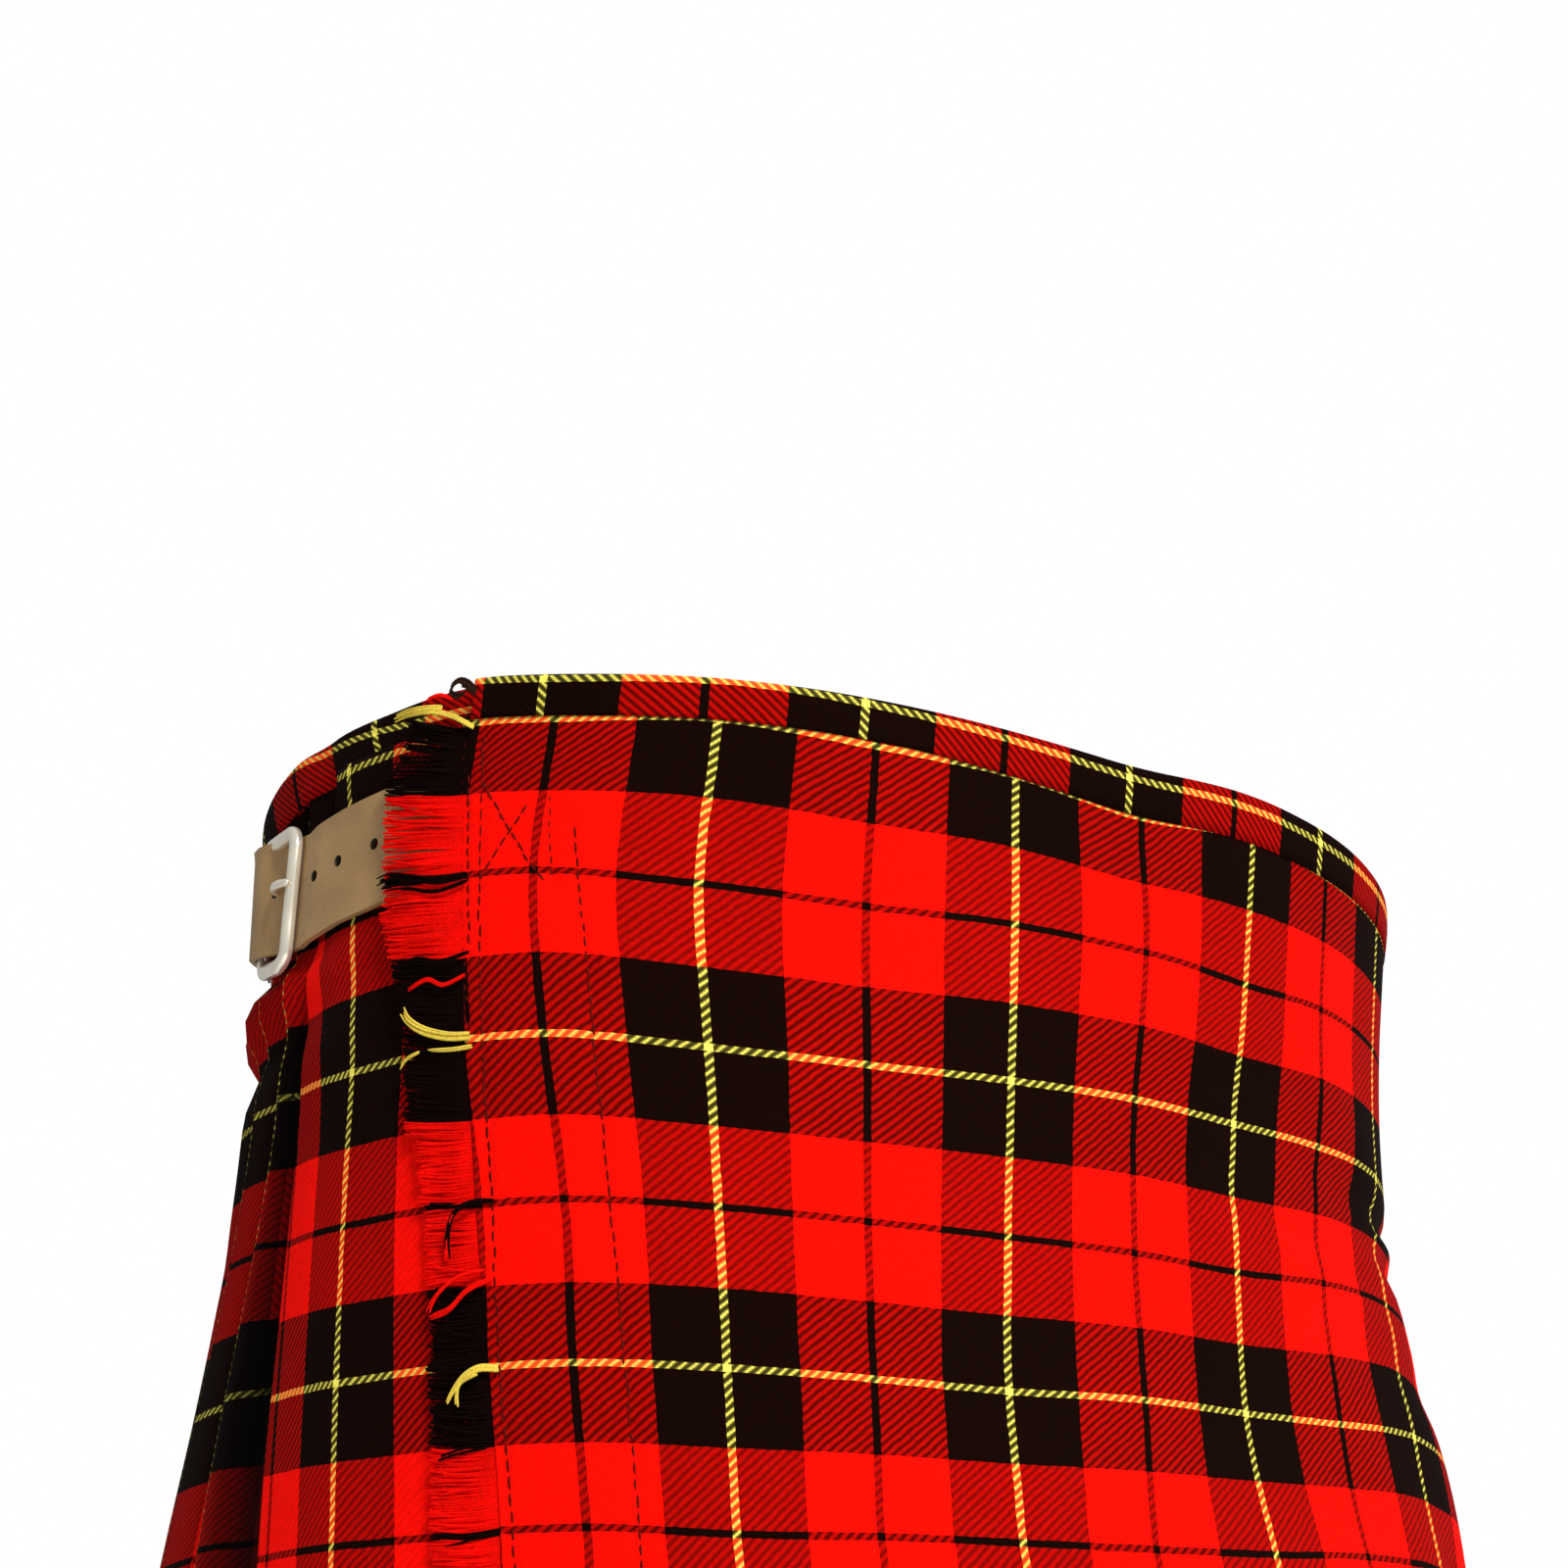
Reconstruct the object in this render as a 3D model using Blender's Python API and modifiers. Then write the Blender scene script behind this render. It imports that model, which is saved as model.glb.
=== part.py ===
"""Scottish kilt, worn form, as plain construction solids.

The waist seam lies in the plane Z = 0, the front faces -Y and the wearer's
left hip is at +X.  Sizes are in millimetres here and metres in the model.
"""

import bpy
import bmesh
import numpy as np
from mathutils import Vector

for old in list(bpy.data.objects):
    bpy.data.objects.remove(old, do_unlink=True)

# Driving sizes in millimetres
MM = 0.001
SETT = 80.0
KILT_DROP = 600.0
CLOTH = 1.2
SEAM_GAP = 0.4
LEATHER = 1.5
BAND_HEIGHT = 13.0
BAND_CLOTH = 2.4
BAND_LIFT = -0.8
APRON_LIFT = -0.6
UNDER_LIFT = -4.5
STRAP_LIFT = -2.5
STRAP_WIDTH = 31.0
STRAP_DROP = 26.0
STRAP_ROW = 28.0
APRON_LEFT = 276.0
UNDER_LEFT = 240.0
PLEAT_COUNT = 22
FRINGE_STRANDS = 118
FRINGE_PITCH = 5.0
FRINGE_STRAND = 3.5
FRINGE_THICK = 0.9
FRINGE_STRIP = 3.0
WIRE_RADIUS = 1.45
CHAPE_LEATHER = 0.7
BUCKLE_HEIGHT = 35.6

# Body sections below the waist seam
# drop, half width, half depth, squareness, shift to the back
SECTIONS = [
    (-20.0, 164.0, 123.8, 2.50, 0.0),
    (0.0, 163.2, 121.4, 2.50, 0.0),
    (40.0, 161.7, 117.3, 2.44, -0.7),
    (80.0, 161.5, 118.3, 2.38, -1.4),
    (120.0, 162.5, 124.6, 2.32, -2.1),
    (160.0, 164.8, 136.0, 2.26, -2.8),
    (200.0, 168.3, 150.6, 2.20, -2.8),
    (240.0, 172.4, 160.5, 2.18, -0.5),
    (300.0, 178.4, 168.5, 2.16, 4.5),
    (400.0, 190.0, 176.0, 2.14, 10.0),
    (500.0, 201.0, 182.0, 2.12, 15.0),
    (600.0, 211.0, 187.0, 2.10, 19.0),
    (620.0, 213.0, 188.0, 2.10, 20.0),
]

# Edges that run down the cloth, as arc lengths from the front centre
# drop, over apron's fringed edge, under apron's folded edge, fringe length
EDGES = [
    (0.0, -169.0, -224.0, 26.0),
    (50.0, -164.0, -225.0, 26.0),
    (65.0, -162.5, -226.0, 20.0),
    (100.0, -159.5, -229.0, 20.0),
    (135.0, -159.0, -234.0, 16.0),
    (175.0, -159.5, -241.0, 17.0),
    (200.0, -161.0, -245.0, 19.0),
    (300.0, -162.0, -249.0, 18.0),
    (600.0, -163.0, -255.0, 18.0),
]

# Pleat shape down the skirt
# drop, layer pitch, turn-under, share of pleat one, share of pleat two
PLEAT_FORM = [
    (0.0, 1.6, 13.0, 0.75, 0.95),
    (60.0, 1.7, 13.0, 0.62, 0.95),
    (88.0, 1.8, 13.0, 0.62, 1.00),
    (110.0, 2.1, 13.5, 0.85, 1.10),
    (150.0, 2.6, 14.0, 1.20, 1.30),
    (200.0, 3.1, 15.0, 1.35, 1.50),
    (300.0, 4.2, 17.0, 1.25, 1.30),
    (450.0, 5.6, 19.0, 1.15, 1.15),
    (600.0, 6.8, 21.0, 1.10, 1.10),
]

# Soft folds of the worn cloth
# arc, drop, reach along, reach down, slope, height
SOFT_FOLDS = [
    (150.0, 103.0, 46.0, 7.0, 0.10, -3.6),
    (152.0, 117.0, 40.0, 6.0, 0.08, 2.6),
    (146.0, 134.0, 34.0, 8.0, -0.10, -2.2),
    (95.0, 62.0, 30.0, 16.0, 0.30, 1.4),
    (60.0, 170.0, 40.0, 26.0, 0.20, -1.2),
    (-292.0, 70.0, 60.0, 9.0, 0.0, -4.0),
    (-200.0, 62.0, 26.0, 9.0, -0.30, 1.0),
    (225.0, 98.0, 40.0, 9.0, -0.08, -2.4),
    (-276.0, 26.0, 50.0, 24.0, 0.0, -5.2),
    (-288.0, -5.0, 45.0, 22.0, 0.0, -3.0),
    (-288.0, 52.0, 50.0, 16.0, 0.0, 3.2),
    (-288.0, 200.0, 70.0, 70.0, 0.0, 4.5),
    (150.0, 156.0, 70.0, 48.0, 0.0, 9.4),
]

# Rise of the waist seam above its plane
# arc, rise
RISES = [
    (-330.0, 0.0),
    (-300.0, 0.5),
    (-265.0, 2.0),
    (-230.0, 3.0),
    (-172.0, 3.0),
    (-150.0, 0.8),
    (-130.0, 0.0),
    (14.0, 0.0),
    (34.0, 2.4),
    (54.0, 4.0),
    (94.0, 3.8),
    (130.0, 2.2),
    (170.0, 0.8),
    (210.0, 0.0),
]
RISE_REACH = 45.0

# Rows of points down the cloth
ROWS = [0.0, 28.0, 50.0, 68.0, 84.0, 96.0, 110.0, 124.0, 140.0, 168.0, 205.0,
        260.0, 340.0, 430.0, 515.0, 600.0]
PLEAT_ROWS = [0.0, 28.0, 50.0, 68.0, 84.0, 110.0, 140.0, 168.0, 205.0, 260.0,
              340.0, 430.0, 515.0, 600.0]


def column(table, drop, which):
    """One named column of a table at any drop, eased between its rows."""
    drops = [row[0] for row in table]
    values = [row[which] for row in table]
    return float(np.interp(drop, drops, values))


def smooth_column(table, drop, which):
    """The same, with the steps between rows rounded off."""
    reach = 14.0
    taps = (-1.0, -0.5, 0.0, 0.5, 1.0)
    total = 0.0
    for tap in taps:
        total += column(table, drop + tap * reach, which)
    return total / len(taps)


SECTION_CACHE = {}


def section(drop):
    """Outline of the body at one drop, as points with their arc lengths."""
    key = round(drop, 3)
    if key in SECTION_CACHE:
        return SECTION_CACHE[key]
    half_width = smooth_column(SECTIONS, drop, 1)
    half_depth = smooth_column(SECTIONS, drop, 2)
    square = smooth_column(SECTIONS, drop, 3)
    shift = smooth_column(SECTIONS, drop, 4)
    turn = np.linspace(-np.pi, np.pi, 1441)
    across = np.sin(turn)
    along = np.cos(turn)
    x = half_width * np.sign(across) * np.abs(across) ** (2.0 / square)
    y = -half_depth * np.sign(along) * np.abs(along) ** (2.0 / square)
    y = y + shift
    step = np.hypot(np.diff(x), np.diff(y))
    arc = np.concatenate([[0.0], np.cumsum(step)])
    girth = arc[-1]
    arc = arc - girth / 2.0
    SECTION_CACHE[key] = (x, y, arc, girth)
    return SECTION_CACHE[key]


def girth_at(drop):
    return section(drop)[3]


def on_outline(arc_here, drop):
    x, y, arc, girth = section(drop)
    wrapped = (arc_here + girth / 2.0) % girth - girth / 2.0
    return np.interp(wrapped, arc, x), np.interp(wrapped, arc, y)


def fold_height(arc_here, drop):
    """Lift of the soft folds at a point of the cloth."""
    girth = girth_at(drop)
    wrapped = (arc_here + girth / 2.0) % girth - girth / 2.0
    lift = 0.0
    for arc0, drop0, reach, depth, slope, height in SOFT_FOLDS:
        side = wrapped - arc0
        if side > girth / 2.0:
            side -= girth
        if side < -girth / 2.0:
            side += girth
        down = drop - drop0 - slope * side
        lift += height * np.exp(-(side / reach) ** 2 - (down / depth) ** 2)
    return float(lift)


def rise_at(arc_here, drop):
    """How far the cloth near the waist is drawn up."""
    girth = girth_at(drop)
    wrapped = (arc_here + girth / 2.0) % girth - girth / 2.0
    total = 0.0
    for tap in (-9.0, -3.0, 3.0, 9.0):
        total += column(RISES, wrapped + tap, 1) / 4.0
    return total * np.exp(-(max(drop, 0.0) / RISE_REACH) ** 2)


def place_on_row(arc_here, drop, lift):
    """Point of one row in metres, lifted off the body's outline."""
    reach = 2.5
    x0, y0 = on_outline(arc_here - reach, drop)
    x1, y1 = on_outline(arc_here + reach, drop)
    x, y = on_outline(arc_here, drop)
    length = np.hypot(x1 - x0, y1 - y0)
    out_x = (y1 - y0) / length
    out_y = -(x1 - x0) / length
    full = lift + fold_height(arc_here, drop)
    z = rise_at(arc_here, drop) - drop
    return Vector(((x + out_x * full) * MM, (y + out_y * full) * MM, z * MM))


def bracket(drop):
    """The two rows a drop lies between, and its share of the way down."""
    for upper, lower in zip(ROWS[:-1], ROWS[1:]):
        if upper <= drop <= lower:
            return upper, lower, (drop - upper) / (lower - upper)
    return drop, drop, 0.0


def place(arc_here, drop, lift):
    """Point of the cloth, straight between the two rows around it."""
    upper, lower, share = bracket(drop)
    if share <= 0.0:
        return place_on_row(arc_here, upper, lift)
    if share >= 1.0:
        return place_on_row(arc_here, lower, lift)
    first = place_on_row(arc_here, upper, lift)
    return first.lerp(place_on_row(arc_here, lower, lift), share)


def edge_at(which, drop):
    """Arc position of a cloth edge, straight between the same rows."""
    upper, lower, share = bracket(drop)
    first = smooth_column(EDGES, upper, which)
    last = smooth_column(EDGES, lower, which)
    return first + (last - first) * share


def make_material(name, colour, roughness, metallic):
    material = bpy.data.materials.new(name)
    material.use_nodes = True
    shader = material.node_tree.nodes["Principled BSDF"]
    shader.inputs["Base Color"].default_value = (*colour, 1.0)
    shader.inputs["Roughness"].default_value = roughness
    shader.inputs["Metallic"].default_value = metallic
    material.diffuse_color = (*colour, 1.0)
    return material


kilt = bpy.data.collections.new("scottish_kilt")
bpy.context.scene.collection.children.link(kilt)


def add_object(name, mesh, material):
    obj = bpy.data.objects.new(name, mesh)
    kilt.objects.link(obj)
    obj.data.materials.append(material)
    return obj


def sheet_object(name, rows, thickness, material):
    """Cloth wall: a grid of points, row by row, thickened both ways."""
    shape = bmesh.new()
    across = len(rows[0]) - 1
    down = len(rows) - 1
    bmesh.ops.create_grid(shape, x_segments=across, y_segments=down, size=0.5)
    for vert in shape.verts:
        j = round((vert.co.x + 0.5) * across)
        i = round((0.5 - vert.co.y) * down)
        vert.co = rows[i][j]
    bmesh.ops.recalc_face_normals(shape, faces=shape.faces[:])
    mesh = bpy.data.meshes.new(name)
    shape.to_mesh(mesh)
    shape.free()
    obj = add_object(name, mesh, material)
    wall = obj.modifiers.new("wall", "SOLIDIFY")
    wall.thickness = thickness * MM
    wall.offset = 0.0
    wall.use_even_offset = True
    wall.use_quality_normals = True
    return obj


over_cloth = make_material("over_apron_wool", (0.62, 0.02, 0.015), 0.85, 0.0)
under_cloth = make_material("under_apron_wool", (0.52, 0.02, 0.015), 0.85, 0.0)
pleat_cloth = make_material("pleated_wool", (0.36, 0.015, 0.012), 0.85, 0.0)
band_cloth = make_material("waistband_wool", (0.10, 0.02, 0.012), 0.85, 0.0)
fringe_yarn = make_material("fringe_wool", (0.70, 0.03, 0.02), 0.9, 0.0)


# Over apron: the front panel that ends in the fringe
def apron_right(drop):
    return edge_at(1, drop)


def under_edge(drop):
    return edge_at(2, drop)


def ease(share):
    share = min(1.0, max(0.0, share))
    return share * share * (3.0 - 2.0 * share)


def under_lift(arc):
    """Lift of the under apron, which comes out to its own folded edge."""
    return UNDER_LIFT + 2.3 * ease((-arc - 194.0) / 30.0)


def over_lift(arc):
    return APRON_LIFT


def panel_rows(first_edge, last_edge, lift_at, count, rows):
    """Points of a flat panel between two edges, evenly spread."""
    result = []
    for drop in rows:
        a = first_edge(drop)
        b = last_edge(drop)
        line = []
        for k in range(count + 1):
            arc = a + (b - a) * k / count
            line.append(place(arc, drop, lift_at(arc)))
        result.append(line)
    return result


def apron_left(drop):
    return APRON_LEFT


def under_left(drop):
    return UNDER_LEFT


over_rows = panel_rows(apron_right, apron_left, over_lift, 40, ROWS)
sheet_object("over_apron", over_rows, CLOTH, over_cloth)

# Under apron: crosses the front beneath and shows at the right hip
under_rows = panel_rows(under_edge, under_left, under_lift, 40, ROWS)
sheet_object("under_apron", under_rows, CLOTH, under_cloth)


# Pleated back: one wall folded into knife pleats
def pleat_folds(drop):
    """Arc positions of the fold edges, from the right hip round the back."""
    start = under_edge(drop)
    stop = APRON_LEFT + 11.0 - girth_at(drop)
    shares = np.ones(PLEAT_COUNT)
    shares[0] = smooth_column(PLEAT_FORM, drop, 3)
    shares[1] = smooth_column(PLEAT_FORM, drop, 4)
    for k in range(2, PLEAT_COUNT):
        shares[k] = 1.0 + 0.05 * np.sin(2.4 * k)
    steps = (stop - start) * shares / shares.sum()
    return start + np.concatenate([[0.0], np.cumsum(steps)])


def pleat_line(drop):
    """Centre line of the folded wall at one drop."""
    folds = pleat_folds(drop)
    pitch = smooth_column(PLEAT_FORM, drop, 1)
    under = smooth_column(PLEAT_FORM, drop, 2)
    top = -CLOTH / 2.0
    deep = under_lift(folds[0]) - max(1.6, pitch - 0.5)
    line = []
    first = folds[0]
    line.append((first + under, deep - 0.6))
    line.append((first, deep))
    fall = top - deep
    for k in range(1, PLEAT_COUNT + 1):
        here = folds[k]
        width = folds[k - 1] - here
        slope = fall / width
        turned = min(under, 0.85 * width)
        line.append((here, top))
        line.append((here, top - pitch))
        line.append((here + turned, top - pitch - slope * turned))
        line.append((here + turned, top - 2.0 * pitch - slope * turned))
        line.append((here, top - 2.0 * pitch))
        fall = 2.0 * pitch
    last = folds[PLEAT_COUNT]
    line.append((last - 27.0, min(UNDER_LIFT, top - 2.0 * pitch) - 0.2))
    return line


pleat_rows = []
for drop in PLEAT_ROWS:
    pleat_rows.append([place(arc, drop, lift) for arc, lift in pleat_line(drop)])
sheet_object("pleated_back", pleat_rows, CLOTH, pleat_cloth)


# Waistband: one strip from the fringed corner round to the under apron
def band_path():
    """Arc positions and lifts of the strip, from its front corner inwards."""
    girth = girth_at(0.0)
    start = apron_right(0.0)
    path = []
    for k in range(41):
        path.append((start + (APRON_LEFT - start) * k / 40.0, BAND_LIFT))
    back = girth - APRON_LEFT + under_edge(0.0)
    for k in range(1, 41):
        share = k / 40.0
        arc = APRON_LEFT + back * share
        left = girth + under_edge(0.0) - arc
        sink = 1.0 - ease(left / 18.0)
        edge_lift = under_lift(under_edge(0.0)) - 0.5
        path.append((arc, BAND_LIFT + (edge_lift - BAND_LIFT) * sink))
    under = UNDER_LEFT - under_edge(0.0)
    for k in range(1, 41):
        arc = under_edge(0.0) + under * k / 40.0
        path.append((girth + arc, under_lift(arc) - 0.5))
    return path


band_rows = []
for drop in (-BAND_HEIGHT, -SEAM_GAP):
    band_rows.append([place(arc, drop, lift) for arc, lift in band_path()])
sheet_object("waistband", band_rows, BAND_CLOTH, band_cloth)


# Fringe: strands of the over apron's edge on one narrow strip
def fringe_object():
    shape = bmesh.new()
    inner = []
    outer = []
    top = (KILT_DROP - FRINGE_PITCH * FRINGE_STRANDS) / 2.0
    drops = []
    for k in range(FRINGE_STRANDS):
        middle = top + FRINGE_PITCH * (k + 0.5)
        drops.append(middle - FRINGE_STRAND / 2.0)
        drops.append(middle + FRINGE_STRAND / 2.0)
    lift = -FRINGE_THICK / 2.0
    for drop in drops:
        edge = apron_right(drop) - SEAM_GAP
        inner.append(shape.verts.new(place(edge, drop, lift)))
        outer.append(shape.verts.new(place(edge - FRINGE_STRIP, drop, lift)))
    for k in range(len(drops) - 1):
        shape.faces.new((inner[k], outer[k], outer[k + 1], inner[k + 1]))
    for k in range(FRINGE_STRANDS):
        tips = []
        for side in (0, 1):
            drop = drops[2 * k + side]
            reach = smooth_column(EDGES, drop, 3) * (1.0 + 0.10 * np.sin(3.1 * k))
            sag = 1.2 * np.sin(1.7 * k)
            taper = 0.7 if side == 0 else -0.7
            edge = apron_right(drop) - SEAM_GAP - FRINGE_STRIP - reach
            tip_drop = min(drop + taper + 0.12 * sag, KILT_DROP - 0.4)
            raised = lift + 0.0032 * reach * reach
            tips.append(shape.verts.new(place(edge, tip_drop, raised)))
        a = outer[2 * k]
        b = outer[2 * k + 1]
        shape.faces.new((a, tips[0], tips[1], b))
    bmesh.ops.recalc_face_normals(shape, faces=shape.faces[:])
    mesh = bpy.data.meshes.new("apron_fringe")
    shape.to_mesh(mesh)
    shape.free()
    obj = add_object("apron_fringe", mesh, fringe_yarn)
    wall = obj.modifiers.new("wall", "SOLIDIFY")
    wall.thickness = FRINGE_THICK * MM
    wall.offset = 0.0
    wall.use_even_offset = True
    wall.use_quality_normals = True
    return obj


fringe_object()


# Straps and buckles, one set at each hip
def strap_rows(path, width, near, way):
    rows = []
    half = width / 2.0
    for side in (-1.0, 0.0, 1.0):
        line = []
        count = len(path)
        for k, (arc, lift) in enumerate(path):
            from_tip = count - 1 - k
            trim = (1.0, 0.97, 0.85, 0.5)
            rounding = max(0, 3 - from_tip)
            share = trim[rounding] if from_tip < 3 else 1.0
            before = min(40.0, max(0.0, (near - arc) * way))
            middle = STRAP_DROP - 0.04 * before
            drop = middle + side * half * share
            if side == 0.0:
                drop = STRAP_ROW
            line.append(place(arc, drop, lift))
        rows.append(line)
    return rows


def wire_object(name, points, radius, closed, material):
    curve = bpy.data.curves.new(name, "CURVE")
    curve.dimensions = "3D"
    spline = curve.splines.new("POLY")
    spline.points.add(len(points) - 1)
    for k, point in enumerate(points):
        spline.points[k].co = (point[0], point[1], point[2], 1.0)
    spline.use_cyclic_u = closed
    curve.bevel_depth = radius * MM
    curve.bevel_resolution = 2
    curve.use_fill_caps = not closed
    obj = bpy.data.objects.new(name, curve)
    kilt.objects.link(obj)
    obj.data.materials.append(material)
    return obj


def frame_points(near_arc, far_arc, near_lift, far_lift):
    """Round-cornered ring of the buckle's frame, on the hip's curve."""
    half = BUCKLE_HEIGHT / 2.0
    corner = 5.0
    middle = (near_arc + far_arc) / 2.0
    reach = abs(near_arc - far_arc) / 2.0
    way = 1.0 if near_arc > far_arc else -1.0
    points = []
    for quarter in range(4):
        if quarter == 0:
            points.append(place(near_arc, STRAP_ROW, near_lift))
        if quarter == 2:
            points.append(place(far_arc, STRAP_ROW, far_lift))
        for k in range(6):
            turn = (quarter + k / 5.0) * np.pi / 2.0
            sign_a = 1.0 if quarter in (0, 3) else -1.0
            sign_d = 1.0 if quarter in (0, 1) else -1.0
            along = sign_a * (reach - corner) + corner * np.cos(turn)
            down = sign_d * (half - corner) + corner * np.sin(turn)
            share = (along / reach + 1.0) / 2.0
            lift = far_lift + (near_lift - far_lift) * share
            points.append(place(middle + way * along, STRAP_DROP + down, lift))
    return points


def fastening(side_name, sewn, rise, climb, near, far, low, way):
    """Strap, buckle frame, prong and chape at one hip.

    The arcs run away from the over apron in the sense of way.
    """
    leather = make_material(side_name + "_strap_leather", (0.27, 0.22, 0.15), 0.55, 0.0)
    metal = make_material(side_name + "_buckle_nickel", (0.85, 0.83, 0.78), 0.2, 1.0)
    prong_metal = make_material(side_name + "_prong_nickel", (0.80, 0.78, 0.73), 0.25, 1.0)
    chape_leather = make_material(side_name + "_chape_leather", (0.25, 0.20, 0.14), 0.6, 0.0)
    over = low + LEATHER / 2.0
    path = []
    for k in range(7):
        path.append((sewn + (rise - sewn) * k / 6.0, STRAP_LIFT))
    for arc, lift in climb:
        path.append((arc, lift))
    start = path[-1][0]
    length = (far - way * 22.0 - start) * way
    steps = max(1, int(length / 6.0))
    for k in range(1, steps + 1):
        path.append((start + way * length * k / steps, over + 0.2))
    for along, lift in ((-18.0, 0.5), (-14.0, 1.4), (-9.0, 3.0), (-5.5, 4.4), (-2.0, 5.3),
                        (3.0, 5.4), (7.0, 5.1), (13.0, 3.7), (19.0, 2.2), (25.0, 1.1)):
        path.append((far + way * along, over + lift))
    for along, lift in ((29.0, 0.7), (33.0, 0.5), (36.0, 0.4), (37.5, 0.4)):
        path.append((far + way * along, over + lift))
    rows = strap_rows(path, STRAP_WIDTH, near, way)
    sheet_object(side_name + "_strap", rows, LEATHER, leather)
    near_lift = over + 0.2 + LEATHER / 2.0 + 0.4 + WIRE_RADIUS
    far_lift = low + CHAPE_LEATHER + 0.35 + WIRE_RADIUS
    ring = frame_points(near, far, near_lift, far_lift)
    wire_object(side_name + "_buckle", ring, WIRE_RADIUS, True, metal)
    # chape: folded leather that holds the frame's far bar
    inner = WIRE_RADIUS + 0.35 + CHAPE_LEATHER / 2.0
    loop = []
    for along in (18.0, 13.0, 8.0, 4.0):
        loop.append((far + way * along, low + CHAPE_LEATHER / 2.0))
    for k in range(7):
        turn = -np.pi / 2.0 + k * np.pi / 6.0
        along = -way * inner * np.cos(turn)
        loop.append((far + along, far_lift + inner * np.sin(turn)))
    loop.append((far + way * 5.0, far_lift + inner - 0.3))
    rows = []
    high = STRAP_DROP - BUCKLE_HEIGHT / 2.0 + 5.2
    for drop in (high, STRAP_ROW, 2.0 * STRAP_DROP - high):
        rows.append([place(arc, drop, lift) for arc, lift in loop])
    sheet_object(side_name + "_chape", rows, CHAPE_LEATHER, chape_leather)
    # prong: from the hole in the strap to its rest on the near bar
    hole = far - way * 8.0
    prong = []
    tip_lift = near_lift + WIRE_RADIUS + 1.7
    prong.append(place(hole, STRAP_DROP, over + 5.9))
    prong.append(place((hole + near) / 2.0, STRAP_DROP, (over + 5.9 + tip_lift) / 2.0 + 0.5))
    prong.append(place(near, STRAP_DROP, tip_lift))
    prong.append(place(near - way * 2.6, STRAP_DROP, tip_lift - 0.2))
    wire_object(side_name + "_prong", prong, 1.1, False, prong_metal)


right_climb = [(-202.0, -2.2), (-210.0, -1.4), (-217.0, -0.5), (-223.0, 0.4)]
left_climb = [(281.0, -0.8), (285.0, 1.4)]
fastening("right", -144.0, -194.0, right_climb, -236.0, -259.0, 0.4, -1.0)
fastening("left", 228.0, 277.0, left_climb, 302.0, 326.0, 0.4, 1.0)

print("objects", len(kilt.objects))
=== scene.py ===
# %% [markdown]
# # A Scottish kilt in tartan wool
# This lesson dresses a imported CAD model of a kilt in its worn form.  The CAD gives the
# sizes and the place of every piece.  Here each cloth gets a soft, finely divided shell
# with a woven tartan, and the sewing, the fringe and the leather get their own pieces.

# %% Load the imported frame
import math
import bpy
import bmesh
import numpy as np
from mathutils import Matrix, Vector


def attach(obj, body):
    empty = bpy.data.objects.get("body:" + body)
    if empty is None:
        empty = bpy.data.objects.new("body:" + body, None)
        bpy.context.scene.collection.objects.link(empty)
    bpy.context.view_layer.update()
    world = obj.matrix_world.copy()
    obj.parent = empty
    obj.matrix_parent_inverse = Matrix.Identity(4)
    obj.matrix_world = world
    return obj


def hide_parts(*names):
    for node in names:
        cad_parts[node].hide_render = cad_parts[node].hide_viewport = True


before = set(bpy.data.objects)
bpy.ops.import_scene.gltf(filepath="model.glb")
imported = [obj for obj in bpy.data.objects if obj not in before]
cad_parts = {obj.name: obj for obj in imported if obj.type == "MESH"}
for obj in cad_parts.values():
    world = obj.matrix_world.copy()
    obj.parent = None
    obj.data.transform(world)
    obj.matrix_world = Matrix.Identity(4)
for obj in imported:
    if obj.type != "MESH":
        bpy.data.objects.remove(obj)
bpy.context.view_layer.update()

# %% [markdown]
# ## The camera
# The photograph looks up at the front and the right hip from the height of the wearer's
# thighs.  A camera's matrix holds its right, up and backward directions in its first
# three columns and its place in the last, so one matrix sets it exactly.  An 82 mm lens
# on a 36 mm sensor gives the same narrow view.

# %% Place the camera
def into_scene(name, data):
    """A new object with this data, linked to the scene."""
    obj = bpy.data.objects.new(name, data)
    bpy.context.scene.collection.objects.link(obj)
    return obj


camera_data = bpy.data.cameras.new("camera")
camera_data.lens = 81.99
camera_data.sensor_width = 36.0
camera = into_scene("camera", camera_data)
camera.matrix_world = Matrix((
    (0.83091, -0.2364, -0.50369, -0.52906),
    (-0.55578, -0.30966, -0.77151, -0.78396),
    (0.02641, 0.92099, -0.38868, -0.35282),
    (0.0, 0.0, 0.0, 1.0)))
bpy.context.scene.camera = camera
bpy.context.scene.view_settings.view_transform = "Standard"
print("camera at", [round(value, 3) for value in camera.location])

# %% [markdown]
# ## The body form
# A worn kilt follows the wearer's waist and hips.  Each level of that form is a rounded
# oval, a superellipse, given by its half width, half depth and squareness.  A place on
# the cloth is told by three numbers in millimetres: the arc, which is the way round from
# the middle of the front, the drop below the waist seam, and the lift off the oval.

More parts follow.
